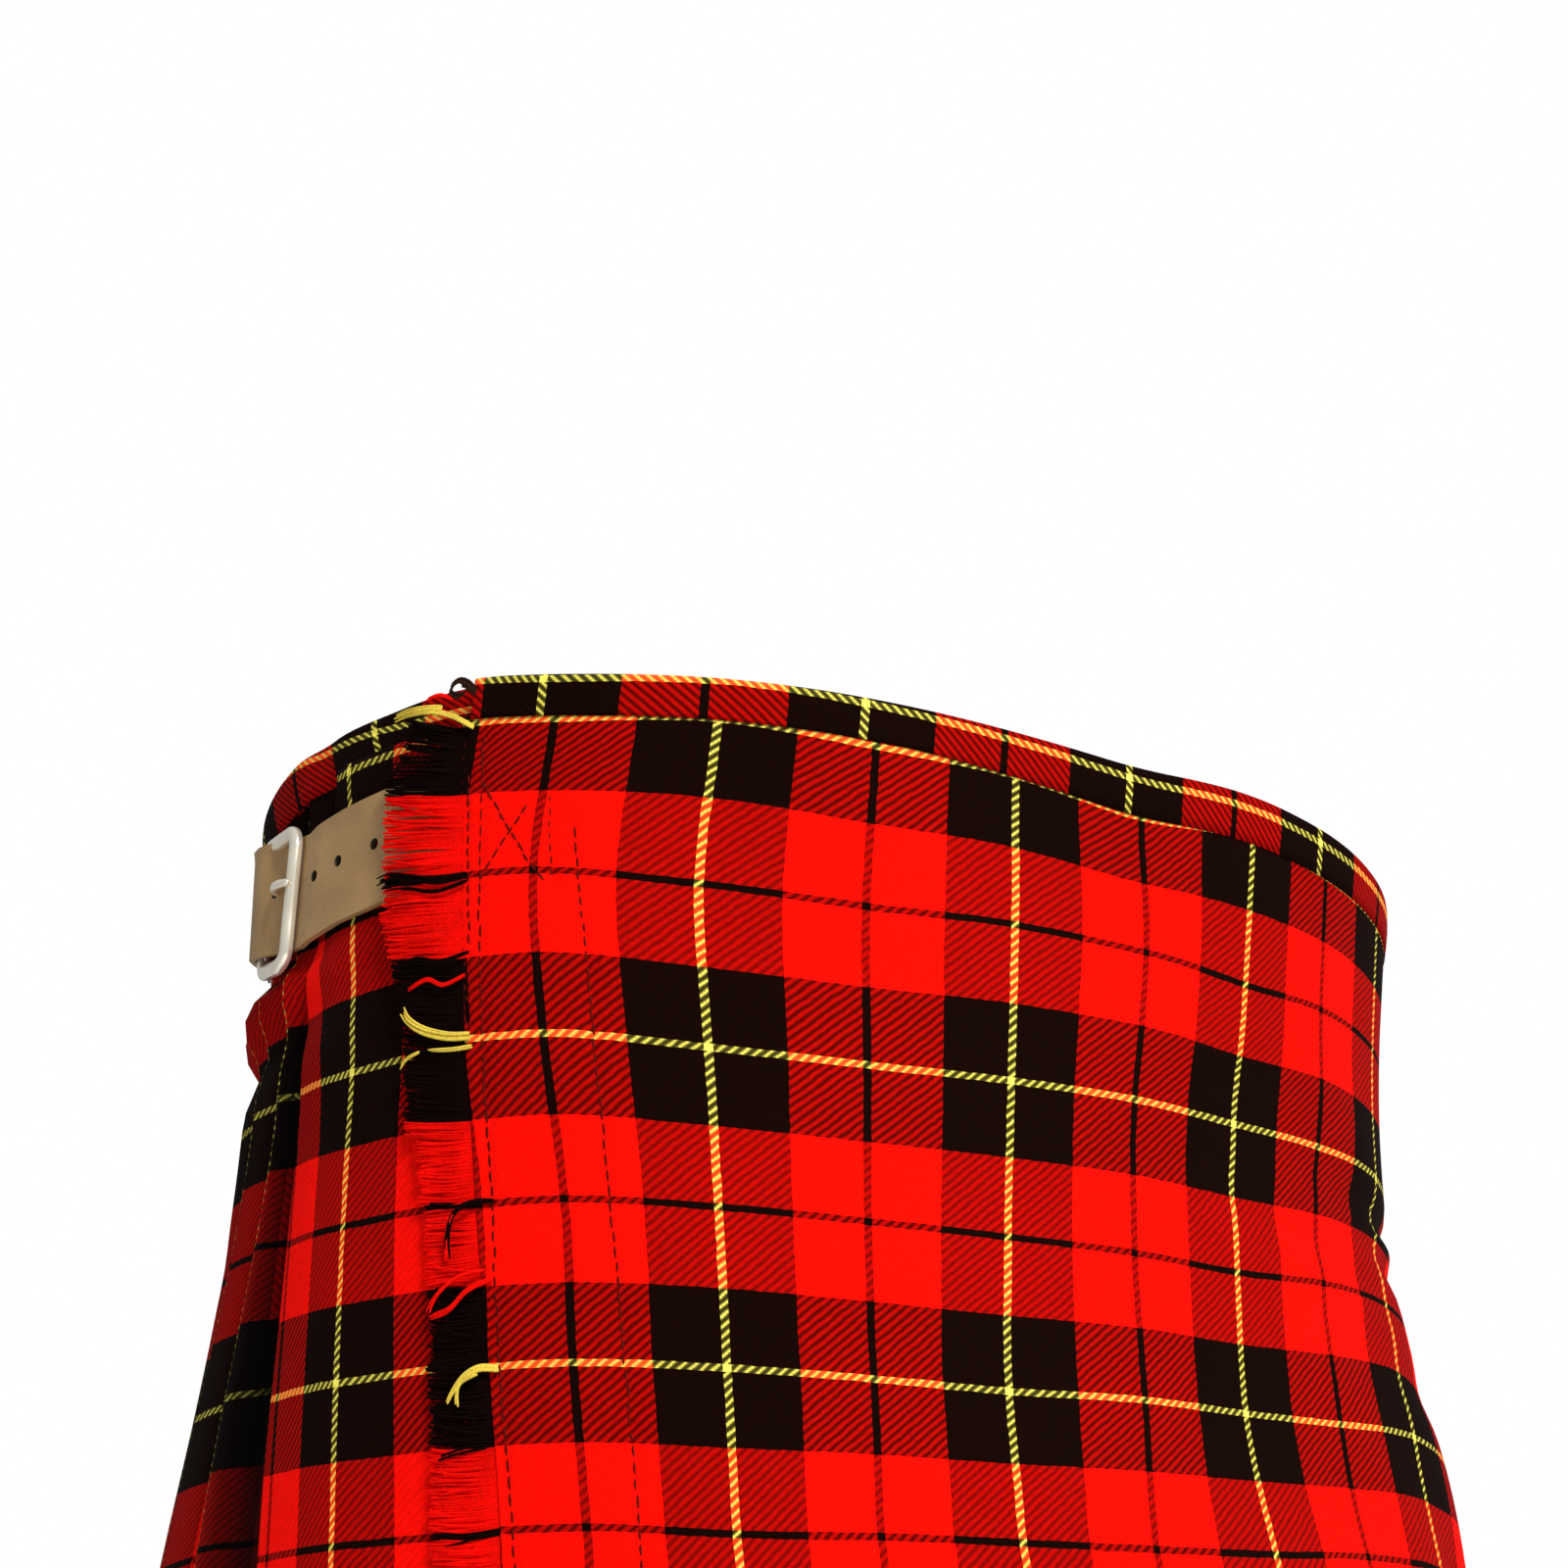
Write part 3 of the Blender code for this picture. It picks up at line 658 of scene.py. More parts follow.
# %% Edges of the two aprons
EDGES = np.array([  # drop, over apron's fringed edge, under apron's folded edge
    (0.0, -169.6, -225.0),
    (50.0, -164.4, -231.5),
    (60.0, -163.3, -231.0),
    (76.0, -161.7, -227.5),
    (100.0, -159.5, -229.6),
    (135.0, -159.0, -233.0),
    (175.0, -159.5, -238.0),
    (200.0, -161.0, -240.0),
    (300.0, -162.0, -246.0),
    (600.0, -163.0, -255.0)])
FRINGE_STRIP = 3.8
APRON_LEFT = 276.0
UNDER_LEFT = 240.0
APRON_LIFT = -0.6
UNDER_LIFT = -4.5
GROOVE = 0.5
GROOVE_HALF = 1.1
SEWING = {  # arc at a drop of each line of sewing on the over apron
    "edge_outer": np.array([(3.0, -172.0), (12.0, -171.4), (53.0, -167.2), (74.0, -164.6)]),
    "edge_middle": np.array([(12.0, -169.8), (40.0, -166.8), (56.0, -165.2)]),
    "edge_inner": np.array([(2.0, -166.6), (7.0, -166.2), (54.0, -162.4), (79.0, -160.6),
                            (120.0, -158.6), (162.0, -160.6), (199.0, -161.6),
                            (598.0, -160.5)]),
    "inner": np.array([(26.0, -139.9), (66.0, -134.0), (104.0, -130.8), (133.0, -129.9),
                       (170.0, -131.1), (200.0, -132.4), (598.0, -133.0)]),
    "short": np.array([(18.0, -146.9), (40.4, -144.4)])}


def under_lift(arcs):
    """Lift of the under apron, which comes out to its own folded edge."""
    return UNDER_LIFT + 2.3 * soft_step((-np.asarray(arcs, float) - 194.0) / 30.0)


def sewn_groove(arcs, drop):
    """Small groove that each line of sewing presses into the over apron."""
    groove = np.zeros_like(arcs)
    for line in SEWING.values():
        if line[0, 0] - 2.0 <= drop <= line[-1, 0] + 2.0:
            middle = np.interp(drop, line[:, 0], line[:, 1])
            groove -= GROOVE * np.exp(-((arcs - middle) / GROOVE_HALF) ** 2)
    return groove


print("lines of sewing", len(SEWING), "over apron ends at arcs", EDGES[0, 1], "and", APRON_LEFT)


# %% Make the over apron
def apron_rows(first_edge, last_edge, lift_at, threads_at, *counts):
    """Places and pattern places of a panel between two edges."""
    places, threads = [], []
    for drop in DROPS:
        arcs = spread(first_edge(drop), last_edge(drop), *counts)
        places.append(level(arcs, drop, lift_at(arcs, drop)))
        threads.append(np.stack(threads_at(arcs, drop), axis=-1))
    return np.array(places), np.array(threads)


def fringed_edge(drop):
    return eased(EDGES, drop, 1) - FRINGE_STRIP


def apron_surface(arcs, drop):
    return APRON_LIFT + sewn_groove(arcs, drop)


over_places, over_uv = apron_rows(fringed_edge, lambda drop: APRON_LEFT, apron_surface,
                                  front_threads, 100, 46.0, 30)
over_apron = cloth("over_apron_cloth", over_places, over_uv, face_tartan)

# %% [markdown]
# ## The under apron
# The under apron crosses the front beneath the over apron, and only a hand's width of it
# shows at the right hip.  Its edge there is folded back, so it stands a little proud of
# the pleats behind.

# %% Make the under apron
def under_edge(drop):
    return eased(EDGES, drop, 2)


under_places, under_uv = apron_rows(under_edge, lambda drop: UNDER_LEFT,
                                    lambda arcs, drop: under_lift(arcs),
                                    under_threads, 76, 72.0, 30)
under_apron = cloth("under_apron_cloth", under_places, under_uv, face_tartan)

# %% [markdown]
# ## The pleated back
# One long piece of cloth is folded into twenty-two knife pleats from the right hip round
# the back to the left hip.  At each level its section is a zigzag: out along the face of
# a pleat to its pressed edge, back under the face, and on to the next.  The maker folds
# it so that the yellow stripe runs down the edge of every pleat.  The layers lie tight
# where the pleats are sewn down, and stand further apart towards the hem.
# Each pleat's face is painted darker towards its recess, the first face most, as painted shade.

# %% Section of the pleats
PLEAT_COUNT = 22
PLEATS = np.array([  # drop, layer pitch, turn-under, share of pleat one, share of pleat two
    (0.0, 1.6, 13.0, 0.75, 0.95),
    (60.0, 1.7, 13.0, 0.62, 0.95),
    (88.0, 1.8, 13.0, 0.62, 1.00),
    (110.0, 2.1, 13.5, 0.85, 1.10),
    (150.0, 2.6, 14.0, 1.20, 1.30),
    (200.0, 3.1, 15.0, 1.35, 1.50),
    (300.0, 4.2, 17.0, 1.25, 1.30),
    (450.0, 5.6, 19.0, 1.15, 1.15),
    (600.0, 6.8, 21.0, 1.10, 1.10)])
FACE_STEPS = 8
# painted shade: the colour over each pleat's face is multiplied by this share
FACE_PAINTED_SHADE = {  # way over a pleat's face, and how much light reaches it
    True: ((0.0, 0.55, 0.8, 1.0), (0.04, 0.08, 0.30, 0.80)),
    False: ((0.0, 0.12, 0.30, 1.0), (0.30, 0.62, 0.95, 1.0))}
SEWN_DOWN = 90.0
NOSE = 1.45


def pleat_folds(drop):
    """Arc positions of the fold edges, from the right hip round the back."""
    start = under_edge(drop)
    stop = APRON_LEFT + 11.0 - outline(drop)[3]
    shares = 1.0 + 0.05 * np.sin(2.4 * np.arange(PLEAT_COUNT))
    shares[0] = eased(PLEATS, drop, 3)
    shares[1] = eased(PLEATS, drop, 4)
    folds = start + np.concatenate([[0.0], np.cumsum((stop - start) * shares / shares.sum())])
    hang = max(0.0, drop - SEWN_DOWN) / (KILT_DROP - SEWN_DOWN)
    sway = 1.6 * hang * np.sin(1.9 * np.arange(PLEAT_COUNT + 1) + drop / 130.0)
    sway[0] = sway[-1] = 0.0
    return folds + sway


print("fold edges at the seam", [round(arc) for arc in pleat_folds(0.0)])


# %% Fold the pleats
def pleat_section(drop):
    """Arc, lift, pattern place and painted shade of the folded wall at one drop."""
    folds = pleat_folds(drop)
    pitch = eased(PLEATS, drop, 1)
    under = eased(PLEATS, drop, 2)
    nose = min(pitch, NOSE)
    top = -WALL / 2.0
    deep = float(under_lift(folds[0])) - max(1.6, pitch - 0.5)
    line = []
    opened = float(soft_step((drop - 53.0) / 12.0))

    def add(arc, lift, pattern, depth=0.35):
        line.append((arc, lift, pattern, depth))

    add(folds[0] + under, deep - 0.3, -1.0 + under / SETT)
    inner_arc, inner_lift = folds[0], deep
    for k in range(1, PLEAT_COUNT + 1):
        here = folds[k]
        width = folds[k - 1] - here
        turned = min(under, 0.85 * width)
        slope = (top - inner_lift) / width
        # out along the face; the first face sinks in where the pleats open
        for step in range(FACE_STEPS):
            share = step / FACE_STEPS
            arc = inner_arc + (here - inner_arc) * share
            belly = 0.5 * math.sin(math.pi * share) * min(1.0, drop / 150.0)
            if k == 1:
                belly -= 3.4 * opened * math.sin(math.pi * min(1.0, 1.25 * share)) ** 2
            # painted shade: each face is darker near its recess, the first face most where the
            # pleats open
            depth = float(np.interp(share, *FACE_PAINTED_SHADE[k == 1]))
            depth = 1.0 - (1.0 - depth) * (opened if k == 1 else 0.4 + 0.6 * opened)
            add(arc, inner_lift + (top - inner_lift) * share + belly,
                -k + (arc - here) / SETT, depth)
        # round the pressed edge, with the yellow stripe on it
        add(here + 1.0, top - 0.04, -k + 1.0 / SETT, 0.9)
        add(here + 0.25, top - 0.25 * nose, -k + 0.3 / SETT, 0.9)
        add(here + 0.25, top - 0.75 * nose, -k - 0.3 / SETT, 0.6)
        add(here + 1.0, top - nose + 0.04, -k - 1.0 / SETT)
        # back under the face, and round the hidden fold to the next face
        low = top - pitch - slope * turned
        add(here + 0.55 * turned, top - nose + 0.55 * (low - top + nose),
            -k - 0.55 * turned / SETT)
        add(here + turned - 0.6, low, -k - turned / SETT)
        if k < PLEAT_COUNT:
            next_width = here - folds[k + 1]
            entry = -k - 1 + (next_width + turned) / SETT
        else:
            entry = -k - 1 + 0.6
        add(here + turned, low - 0.5 * pitch, (-k - turned / SETT + entry) / 2.0)
        add(here + turned - 0.6, low - pitch, entry)
        inner_arc, inner_lift = here, top - 2.0 * pitch
    add(inner_arc, inner_lift, -PLEAT_COUNT - 1 + 0.45)
    add(folds[-1] - 27.0, min(UNDER_LIFT, inner_lift) - 0.2, -PLEAT_COUNT - 1 + 0.1)
    return np.array(line)


PLEAT_DROPS = np.concatenate([[-1.2], spread(0.0, KILT_DROP, 118)])


def pleat_rows():
    """Places, pattern places and painted shade of the whole pleated back."""
    places, threads, painted_shades = [], [], []
    for drop in PLEAT_DROPS:
        line = pleat_section(drop)
        painted_shades.append(line[:, 3])
        down = drop + 1.4 + 0.047 * np.clip(drop - 79.0, 0.0, 121.0)
        places.append(level(line[:, 0], drop, line[:, 1]))
        threads.append(np.stack([line[:, 2], np.full(len(line), down / SETT)], axis=-1))
    return np.array(places), np.array(threads), np.array(painted_shades)


pleat_places, pleat_uv, pleat_painted_shades = pleat_rows()
pleated_back = cloth("pleated_back_cloth", pleat_places, pleat_uv, pleat_tartan_painted_shade,
                     painted_shades=pleat_painted_shades)

# %% [markdown]
# ## The waistband
# The waistband is a narrow strip folded over the top of the cloth.  It starts at the
# fringed corner, goes round the back and ends beneath the front.  Its section is an
# upside-down U, carried along the whole way round as one grid of points.  It is cut with
# the yellow thread on its fold, half a repeat away from the cloth below.  Beside the
# fringe its lower edge is drawn up a little, and shows the seam.

# %% Make the waistband
BAND_WALL = 0.9
BAND_OUT = -0.05
BAND_IN = -1.5
BAND_FOLD = [  # drop, share of the way inwards, for each point over the fold
    (0.4, 0.0), (-3.0, 0.0), (-6.0, 0.0), (-9.0, 0.0), (-11.0, 0.0), (-12.0, 0.08),
    (-12.45, 0.30), (-12.55, 0.5), (-12.45, 0.70), (-12.0, 0.92), (-11.0, 1.0),
    (-6.0, 1.0), (-0.1, 1.0)]
BAND_RAISED = 0.66
BAND_YELLOW = np.array([  # arc, number of the yellow stripe across the band
    (-231.8, -1.0), (-167.2, -0.243), (-151.8, 0.0), (-70.4, 1.0), (9.0, 2.0),
    (83.2, 3.0), (163.2, 4.0), (649.7, 10.0), (729.7, 11.0), (1209.7, 17.0)])
BAND_LINE = np.array([  # arc, drop of the yellow line that runs along the band
    (-170.0, -11.7), (-152.0, -11.3), (-102.0, -11.9), (-52.0, -10.6), (9.0, -9.3),
    (83.0, -8.5), (580.0, -8.5), (640.0, -11.5), (662.4, -13.4), (682.4, -12.8),
    (706.4, -10.1), (729.7, -8.8), (744.0, -7.4), (753.0, -6.6), (1200.0, -6.6)])


def band_way():
    """Arcs, lifts and pattern shifts along the strip."""
    girth = outline(0.0)[3]
    start, edge = eased(EDGES, 0.0, 1) - 1.4, under_edge(0.0)
    around = spread(start, girth + edge, 220)
    inside = np.linspace(girth + edge, girth + UNDER_LEFT, 130)[1:]
    arcs = np.concatenate([around, inside])
    left = girth + edge - around
    folded = float(under_lift(edge)) - 0.1
    lifts = np.concatenate([folded * (1.0 - soft_step(left / 18.0)),
                            under_lift(inside - girth) - 0.1])
    return arcs, lifts


def make_waistband():
    """Places and pattern places of the strip, from its outer edge over the fold."""
    arcs, lifts = band_way()
    along = np.interp(arcs, BAND_YELLOW[:, 0], BAND_YELLOW[:, 1])
    places, threads = [], []
    fold_way = 0.0
    for (drop, inwards), (drop0, inwards0) in zip(BAND_FOLD, BAND_FOLD[:1] + BAND_FOLD):
        fold_way += math.hypot(drop - drop0, (inwards - inwards0) * (BAND_OUT - BAND_IN))
        swell = 0.25 * math.sin(math.pi * min(1.0, -drop / 12.0)) * (1.0 - inwards)
        lift = BAND_OUT + (BAND_IN - BAND_OUT) * inwards + swell
        places.append(level(arcs, drop, lifts + lift))
        threads.append(fold_way + np.zeros_like(arcs))
    raised = BAND_RAISED * near_opening(arcs)
    places[0] += (places[1] - places[0]) * raised[:, None]
    threads[0] = threads[1] * raised
    line = BAND_FOLD[0][0] - np.interp(arcs, BAND_LINE[:, 0], BAND_LINE[:, 1])
    rows = [np.stack([along, (line - way) / SETT], axis=-1) for way in threads]
    return np.array(places), np.array(rows)


band_places, band_uv = make_waistband()
waistband = cloth("waistband_cloth", band_places, band_uv, band_tartan, BAND_WALL)

# %% [markdown]
# ## Threads as curves
# Yarn and sewing thread are round and thin, so a curve with a small bevel draws each one.
# Many splines share one curve object, each with the number of its material, and the
# whole is turned into a mesh at the end, because a mesh is what a shelf of parts keeps.

# %% Bundles of threads
def plain_yarn(name, colour, roughness=0.9):
    """Spun wool or thread of one colour."""
    graph = Graph(name)
    place = graph.place()
    spin = graph.noise(place, 1400.0, 2.0, 0.7)
    graph.paint(colour, graph.times(graph.vary(spin, 0.72, 1.12),
                                    graph.vary(graph.noise(place, 120.0, 1.0), 0.82, 1.06)))
    graph.bump(spin, 0.6, 0.0002)
    return graph.finish(roughness, specular=0.04)


red_yarn = plain_yarn("red_yarn", RED)
black_yarn = plain_yarn("black_yarn", BLACK)
yellow_yarn = plain_yarn("yellow_yarn", (0.80, 0.60, 0.075, 1.0))
loop_thread = plain_yarn("loop_thread", (0.030, 0.012, 0.006, 1.0))
# the thread's own dark red, darkened further as painted shade of the puckers along the sewing
sewing_thread_and_shade = plain_yarn("sewing_thread_and_shade", (0.11, 0.004, 0.002, 1.0), 0.8)
YARNS = [red_yarn, black_yarn, yellow_yarn, loop_thread]
RED_YARN, BLACK_YARN, YELLOW_YARN, LOOP_THREAD = 0, 1, 2, 3


def thread_mesh(name, strands, materials):
    """Mesh of many strands, each (points, radius or radii in mm, material number)."""
    curve = bpy.data.curves.new(name, "CURVE")
    curve.dimensions = "3D"
    curve.bevel_depth = MM
    curve.bevel_resolution = 0
    curve.use_fill_caps = True
    for one in materials:
        curve.materials.append(one)
    for points, radii, which in strands:
        spline = curve.splines.new("POLY")
        spline.points.add(len(points) - 1)
        flat = np.ones((len(points), 4))
        flat[:, :3] = points
        spline.points.foreach_set("co", flat.ravel())
        spline.points.foreach_set("radius", np.broadcast_to(radii, len(points)).astype(float))
        spline.material_index = which
    source = into_scene(name + "_curve", curve)
    shape = source.evaluated_get(bpy.context.evaluated_depsgraph_get())
    mesh = bpy.data.meshes.new_from_object(shape)
    bpy.data.objects.remove(source, do_unlink=True)
    mesh.name = name
    print(name, len(strands), "strands,", len(mesh.polygons), "faces")
    return show(name, mesh)


print("yarns", [yarn.name for yarn in YARNS])

# %% [markdown]
# ## A fine map of the hip
# Thousands of thread points are placed on the hip, and working out each one alone would be
# slow.  So the surface is worked out once on a net of lines a millimetre apart, with the
# direction that leads off it, and every thread point is read between the lines.

# %% Map the hip
def surface_map(first, last, upper, lower):
    """Function that turns arrays of arc, drop and lift into places, read from a net."""
    arcs = np.arange(first, last + 0.5, 1.0)
    drops = np.arange(upper, lower + 0.5, 1.0)
    base = np.array([level(arcs, drop, 0.0) for drop in drops])
    off = np.array([level(arcs, drop, 1.0) for drop in drops]) - base

    def between(net, i, j, down, along):
        upper_row = net[i, j] * (1 - along) + net[i, j + 1] * along
        lower_row = net[i + 1, j] * (1 - along) + net[i + 1, j + 1] * along
        return upper_row * (1 - down) + lower_row * down

    def place(arc, drop, lift):
        x = np.clip(np.asarray(arc, float) - first, 0.0, len(arcs) - 1.001)
        y = np.clip(np.asarray(drop, float) - upper, 0.0, len(drops) - 1.001)
        i, j = y.astype(int), x.astype(int)
        down, along = (y - i)[..., None], (x - j)[..., None]
        lift = np.asarray(lift, float)[..., None]
        return between(base, i, j, down, along) + between(off, i, j, down, along) * lift

    return place


on_hip = surface_map(-268.0, -118.0, -22.0, 604.0)
print("fringed corner of the seam", np.round(on_hip(EDGES[0, 1], 0.0, 0.0), 4))

# %% [markdown]
# ## The fringe
# The fringe is the over apron's own weft, with the warp pulled out of the last few
# centimetres.  So every strand is a weft thread, and it keeps the colour of its row.
# The strands lie side by side, over the strap at the top and flat on the under apron
# below it, and only their tips stray.

# %% Make the fringe
FRINGE_SEED = 7
FRINGE = np.array([  # drop, reach, rise of the tips, lift of the tips
    (-3.0, 17.5, 6.4, 1.3),
    (9.0, 18.0, 4.4, 1.1),
    (11.5, 23.5, 4.0, 1.1),
    (30.0, 24.5, 2.6, 0.9),
    (50.0, 24.0, 2.3, 0.4),
    (58.0, 22.5, 3.0, -0.6),
    (80.0, 19.0, 3.4, -1.4),
    (98.0, 20.0, 3.0, -1.5),
    (110.0, 16.0, 1.4, -1.7),
    (140.0, 15.0, 0.8, -1.8),
    (165.0, 17.0, 0.8, -1.7),
    (200.0, 18.0, 0.5, -1.9),
    (600.0, 18.0, 0.0, -1.9)])
FRINGE_POINTS = 7
STRANDS_A_THREAD = 2
TUFT = (10, 26)  # fewest strands that hang together, and one more than the most
STRAYS = 0.06
YELLOW_FROM = 170.0  # above it the loose ends show the yellow weft


def yarn_of(row):
    """Which yarn a weft thread is, from its place in the repeat."""
    thread = abs(((row * WEFT_THREADS + WEFT_THREADS / 2) % WEFT_THREADS) - WEFT_THREADS / 2)
    yellow_end, black_end, red_end = WEFT_STRIPES
    if thread < yellow_end:
        return YELLOW_YARN
    return BLACK_YARN if thread < black_end or thread > red_end else RED_YARN


def fringe_strands():
    """Strands from the seam to the hem, in tufts that slide and bow together."""
    chance = np.random.default_rng(FRINGE_SEED)
    strands = []
    step = SETT / WEFT_THREADS / STRANDS_A_THREAD
    drop = 0.3
    share = np.linspace(0.0, 1.0, FRINGE_POINTS)
    while drop < KILT_DROP - 1.5:
        count = int(chance.integers(*TUFT))
        slide, bow = chance.normal(0.0, 0.35), chance.normal(0.5, 0.35)
        long = chance.uniform(0.95, 1.04)
        middle = drop + 0.5 * count * step
        for k in range(count):
            here = drop + k * step
            if here > KILT_DROP - 1.5:
                break
            reach, rise, rest = [np.interp(here, FRINGE[:, 0], FRINGE[:, n]) for n in (1, 2, 3)]
            stray = chance.random() < STRAYS
            reach *= long * chance.uniform(0.94, 1.04) * (0.85 if stray else 1.0)
            root = fringed_edge(here)
            row = front_threads(np.array([root + 4.0]), here)[1][0]
            yarn = yarn_of(row)
            wave, turn = chance.uniform(0.1, 0.45), chance.uniform(0.0, 6.28)
            high = chance.uniform(-0.35, 0.55) + (0.8 if stray else 0.0)
            tip = slide + 0.07 * (middle - here) + (chance.normal(0.0, 1.6) if stray else 0.0)
            if yarn == YELLOW_YARN and here < YELLOW_FROM:
                yarn = BLACK_YARN
            arc = root + 1.6 - share * (reach + 1.6)
            down = here - rise * share ** 1.3 + tip * share ** 2
            down += bow * np.sin(math.pi * share) * 0.6 + wave * share * np.sin(5.0 * share + turn)
            down = np.minimum(down, KILT_DROP - 0.4)
            lift = -0.5 + (rest + high + 0.5) * soft_step(share * 1.6)
            lift += 0.4 * share * np.sin(4.0 * share + 2.0 * turn)
            strands.append((on_hip(arc, down, lift), np.linspace(0.34, 0.30, FRINGE_POINTS), yarn))
        drop += count * step
    return strands


fringe = thread_mesh("apron_fringe_yarn", fringe_strands(), YARNS)

# %% [markdown]
# ## Loose ends in the fringe
# A few longer ends stand out: bright yellow ones where the yellow weft leaves the cloth,
# a curled black end, a red one, and a small loop of thread at the corner of the band.
# Each is drawn by a few strands along the same short path, a little apart.

# %% Make the loose ends
LOOSE_ENDS = [  # yarn, strands, spacing, path as arc, drop and lift
    (YELLOW_YARN, 3, 0.45, [(-169.0, 0.6, 1.0), (-174.0, -2.2, 1.7), (-180.0, -4.6, 1.8),
                            (-186.0, -5.8, 1.4), (-192.0, -6.4, 0.9)]),
    (YELLOW_YARN, 5, 0.5, [(-179.0, -5.4, 1.5), (-184.0, -6.2, 1.8), (-190.0, -7.0, 1.6),
                           (-196.0, -7.4, 0.9)]),
    (RED_YARN, 2, 0.5, [(-176.0, -7.6, 1.3), (-180.0, -9.2, 1.7), (-185.0, -9.2, 1.2)]),
    (YELLOW_YARN, 5, 0.5, [(-163.5, 78.2, 1.0), (-169.0, 77.9, 1.5), (-176.0, 75.6, 1.2),
                           (-181.5, 72.4, 0.7), (-184.5, 69.2, 0.0)]),
    (YELLOW_YARN, 2, 0.5, [(-162.8, 80.9, 0.9), (-168.0, 81.3, 1.3), (-175.0, 80.6, 0.8)]),
    (YELLOW_YARN, 2, 0.5, [(-178.0, 80.4, 0.7), (-182.0, 81.2, 0.3), (-184.5, 82.4, -0.2)]),
    (YELLOW_YARN, 4, 0.5, [(-160.3, 161.7, 0.9), (-165.0, 161.4, 1.4), (-170.0, 163.6, 1.2),
                           (-175.0, 168.4, 0.4)]),
    (YELLOW_YARN, 2, 0.5, [(-165.5, 162.6, 1.3), (-170.5, 164.8, 1.1), (-172.5, 169.6, 0.4)]),
    (BLACK_YARN, 3, 0.4, [(-158.0, 120.4, 0.8), (-163.8, 120.6, 1.5), (-168.2, 122.8, 1.4),
                          (-170.4, 127.4, 0.9), (-171.4, 133.0, 0.2)]),
    (RED_YARN, 2, 0.4, [(-168.0, 122.4, 1.6), (-170.6, 127.0, 1.1), (-172.0, 133.6, 0.3)]),
    (RED_YARN, 3, 0.4, [(-159.6, 139.6, 0.9), (-166.0, 142.2, 1.5), (-171.5, 146.4, 1.2),
                        (-177.0, 147.4, 0.3)]),
    (RED_YARN, 2, 0.4, [(-161.6, 137.4, 0.9), (-168.0, 138.6, 1.4), (-174.4, 142.4, 1.0),
                        (-178.0, 146.4, 0.3)]),
    (BLACK_YARN, 4, 0.4, [(-166.5, 37.6, 0.9), (-174.0, 38.4, 1.6), (-182.0, 36.4, 1.7),
                          (-190.0, 34.2, 1.5), (-196.0, 34.0, 1.0)]),
    (BLACK_YARN, 2, 0.4, [(-166.5, 39.0, 0.9), (-175.0, 40.8, 1.6), (-184.0, 38.4, 1.6),
                          (-192.0, 37.2, 1.2)]),
    (BLACK_YARN, 2, 0.5, [(-164.5, 57.0, 0.9), (-172.0, 58.6, 1.5), (-180.0, 56.8, 1.2),
                          (-188.0, 58.2, 0.6)]),
    (RED_YARN, 2, 0.5, [(-165.5, 62.6, 0.9), (-171.0, 64.6, 1.4), (-176.0, 62.6, 1.2),
                        (-182.0, 64.2, 0.4)]),
    (LOOP_THREAD, 5, 0.3, [(-169.6, -9.2, 0.9), (-171.6, -11.2, 1.3), (-174.2, -12.2, 1.5),
                           (-176.4, -11.2, 1.5), (-176.8, -9.3, 1.4), (-175.0, -8.2, 1.2),
                           (-173.4, -9.0, 1.0)]),
    (LOOP_THREAD, 4, 0.3, [(-169.8, -8.4, 0.9), (-172.4, -10.5, 1.2), (-174.6, -11.2, 1.3)])]


def loose_strands():
    """Strands side by side along each path, which fan out a little."""
    chance = np.random.default_rng(FRINGE_SEED + 1)
    strands = []
    share = np.linspace(0.0, 1.0, 17)
    for yarn, count, spacing, path in LOOSE_ENDS:
        line = smooth_between(np.array(path), share * (len(path) - 1))
        for k in range(count):
            off = spacing * (k - (count - 1) / 2.0)
            fan = chance.normal(0.0, 0.35)
            short = chance.uniform(-1.2, 0.4)
            arc = line[:, 0] - short * share ** 3
            down = line[:, 1] + off * (0.8 + 0.3 * share) + fan * share ** 2
            lift = line[:, 2] + chance.normal(0.0, 0.12)
            radii = np.interp(share, (0.0, 0.1, 0.85, 1.0), (0.26, 0.36, 0.34, 0.2))
            strands.append((on_hip(arc, down, lift), radii, yarn))
    return strands


loose_ends = thread_mesh("loose_yarn_ends", loose_strands(), YARNS)

# %% [markdown]
# ## The sewing
# Lines of hand stitching hold the edge of the over apron down.  One runs beside the
# fringe, one a hand's breadth further in, and a small cross with a short bar beside it
# fastens the place where the strap is sewn on behind.  Each stitch is a short thread that
# is thin at its ends, because there it dips into the cloth.
# The thread is dark red, and darker still as painted shade of the small puckers beside it.

# %% Make the stitches
STITCH = 3.4
STITCH_GAP = 0.35
STITCH_RADIUS = 0.38
STITCH_WANDER = 0.12
CROSS = [  # arc and drop of the cross and of the short bar beside it
    [(-167.0, 5.0), (-165.4, 14.5), (-158.4, 24.0), (-150.5, 35.2), (-146.2, 40.2)],
    [(-152.6, 20.8), (-158.6, 30.6), (-164.9, 41.1)],
    [(-147.0, 17.5), (-146.0, 28.0), (-144.4, 40.6)]]


def on_over_apron(arc, drop):
    """Lift of the over apron's outer side."""
    return float(apron_surface(np.array([arc]), drop)[0]) + WALL / 2.0


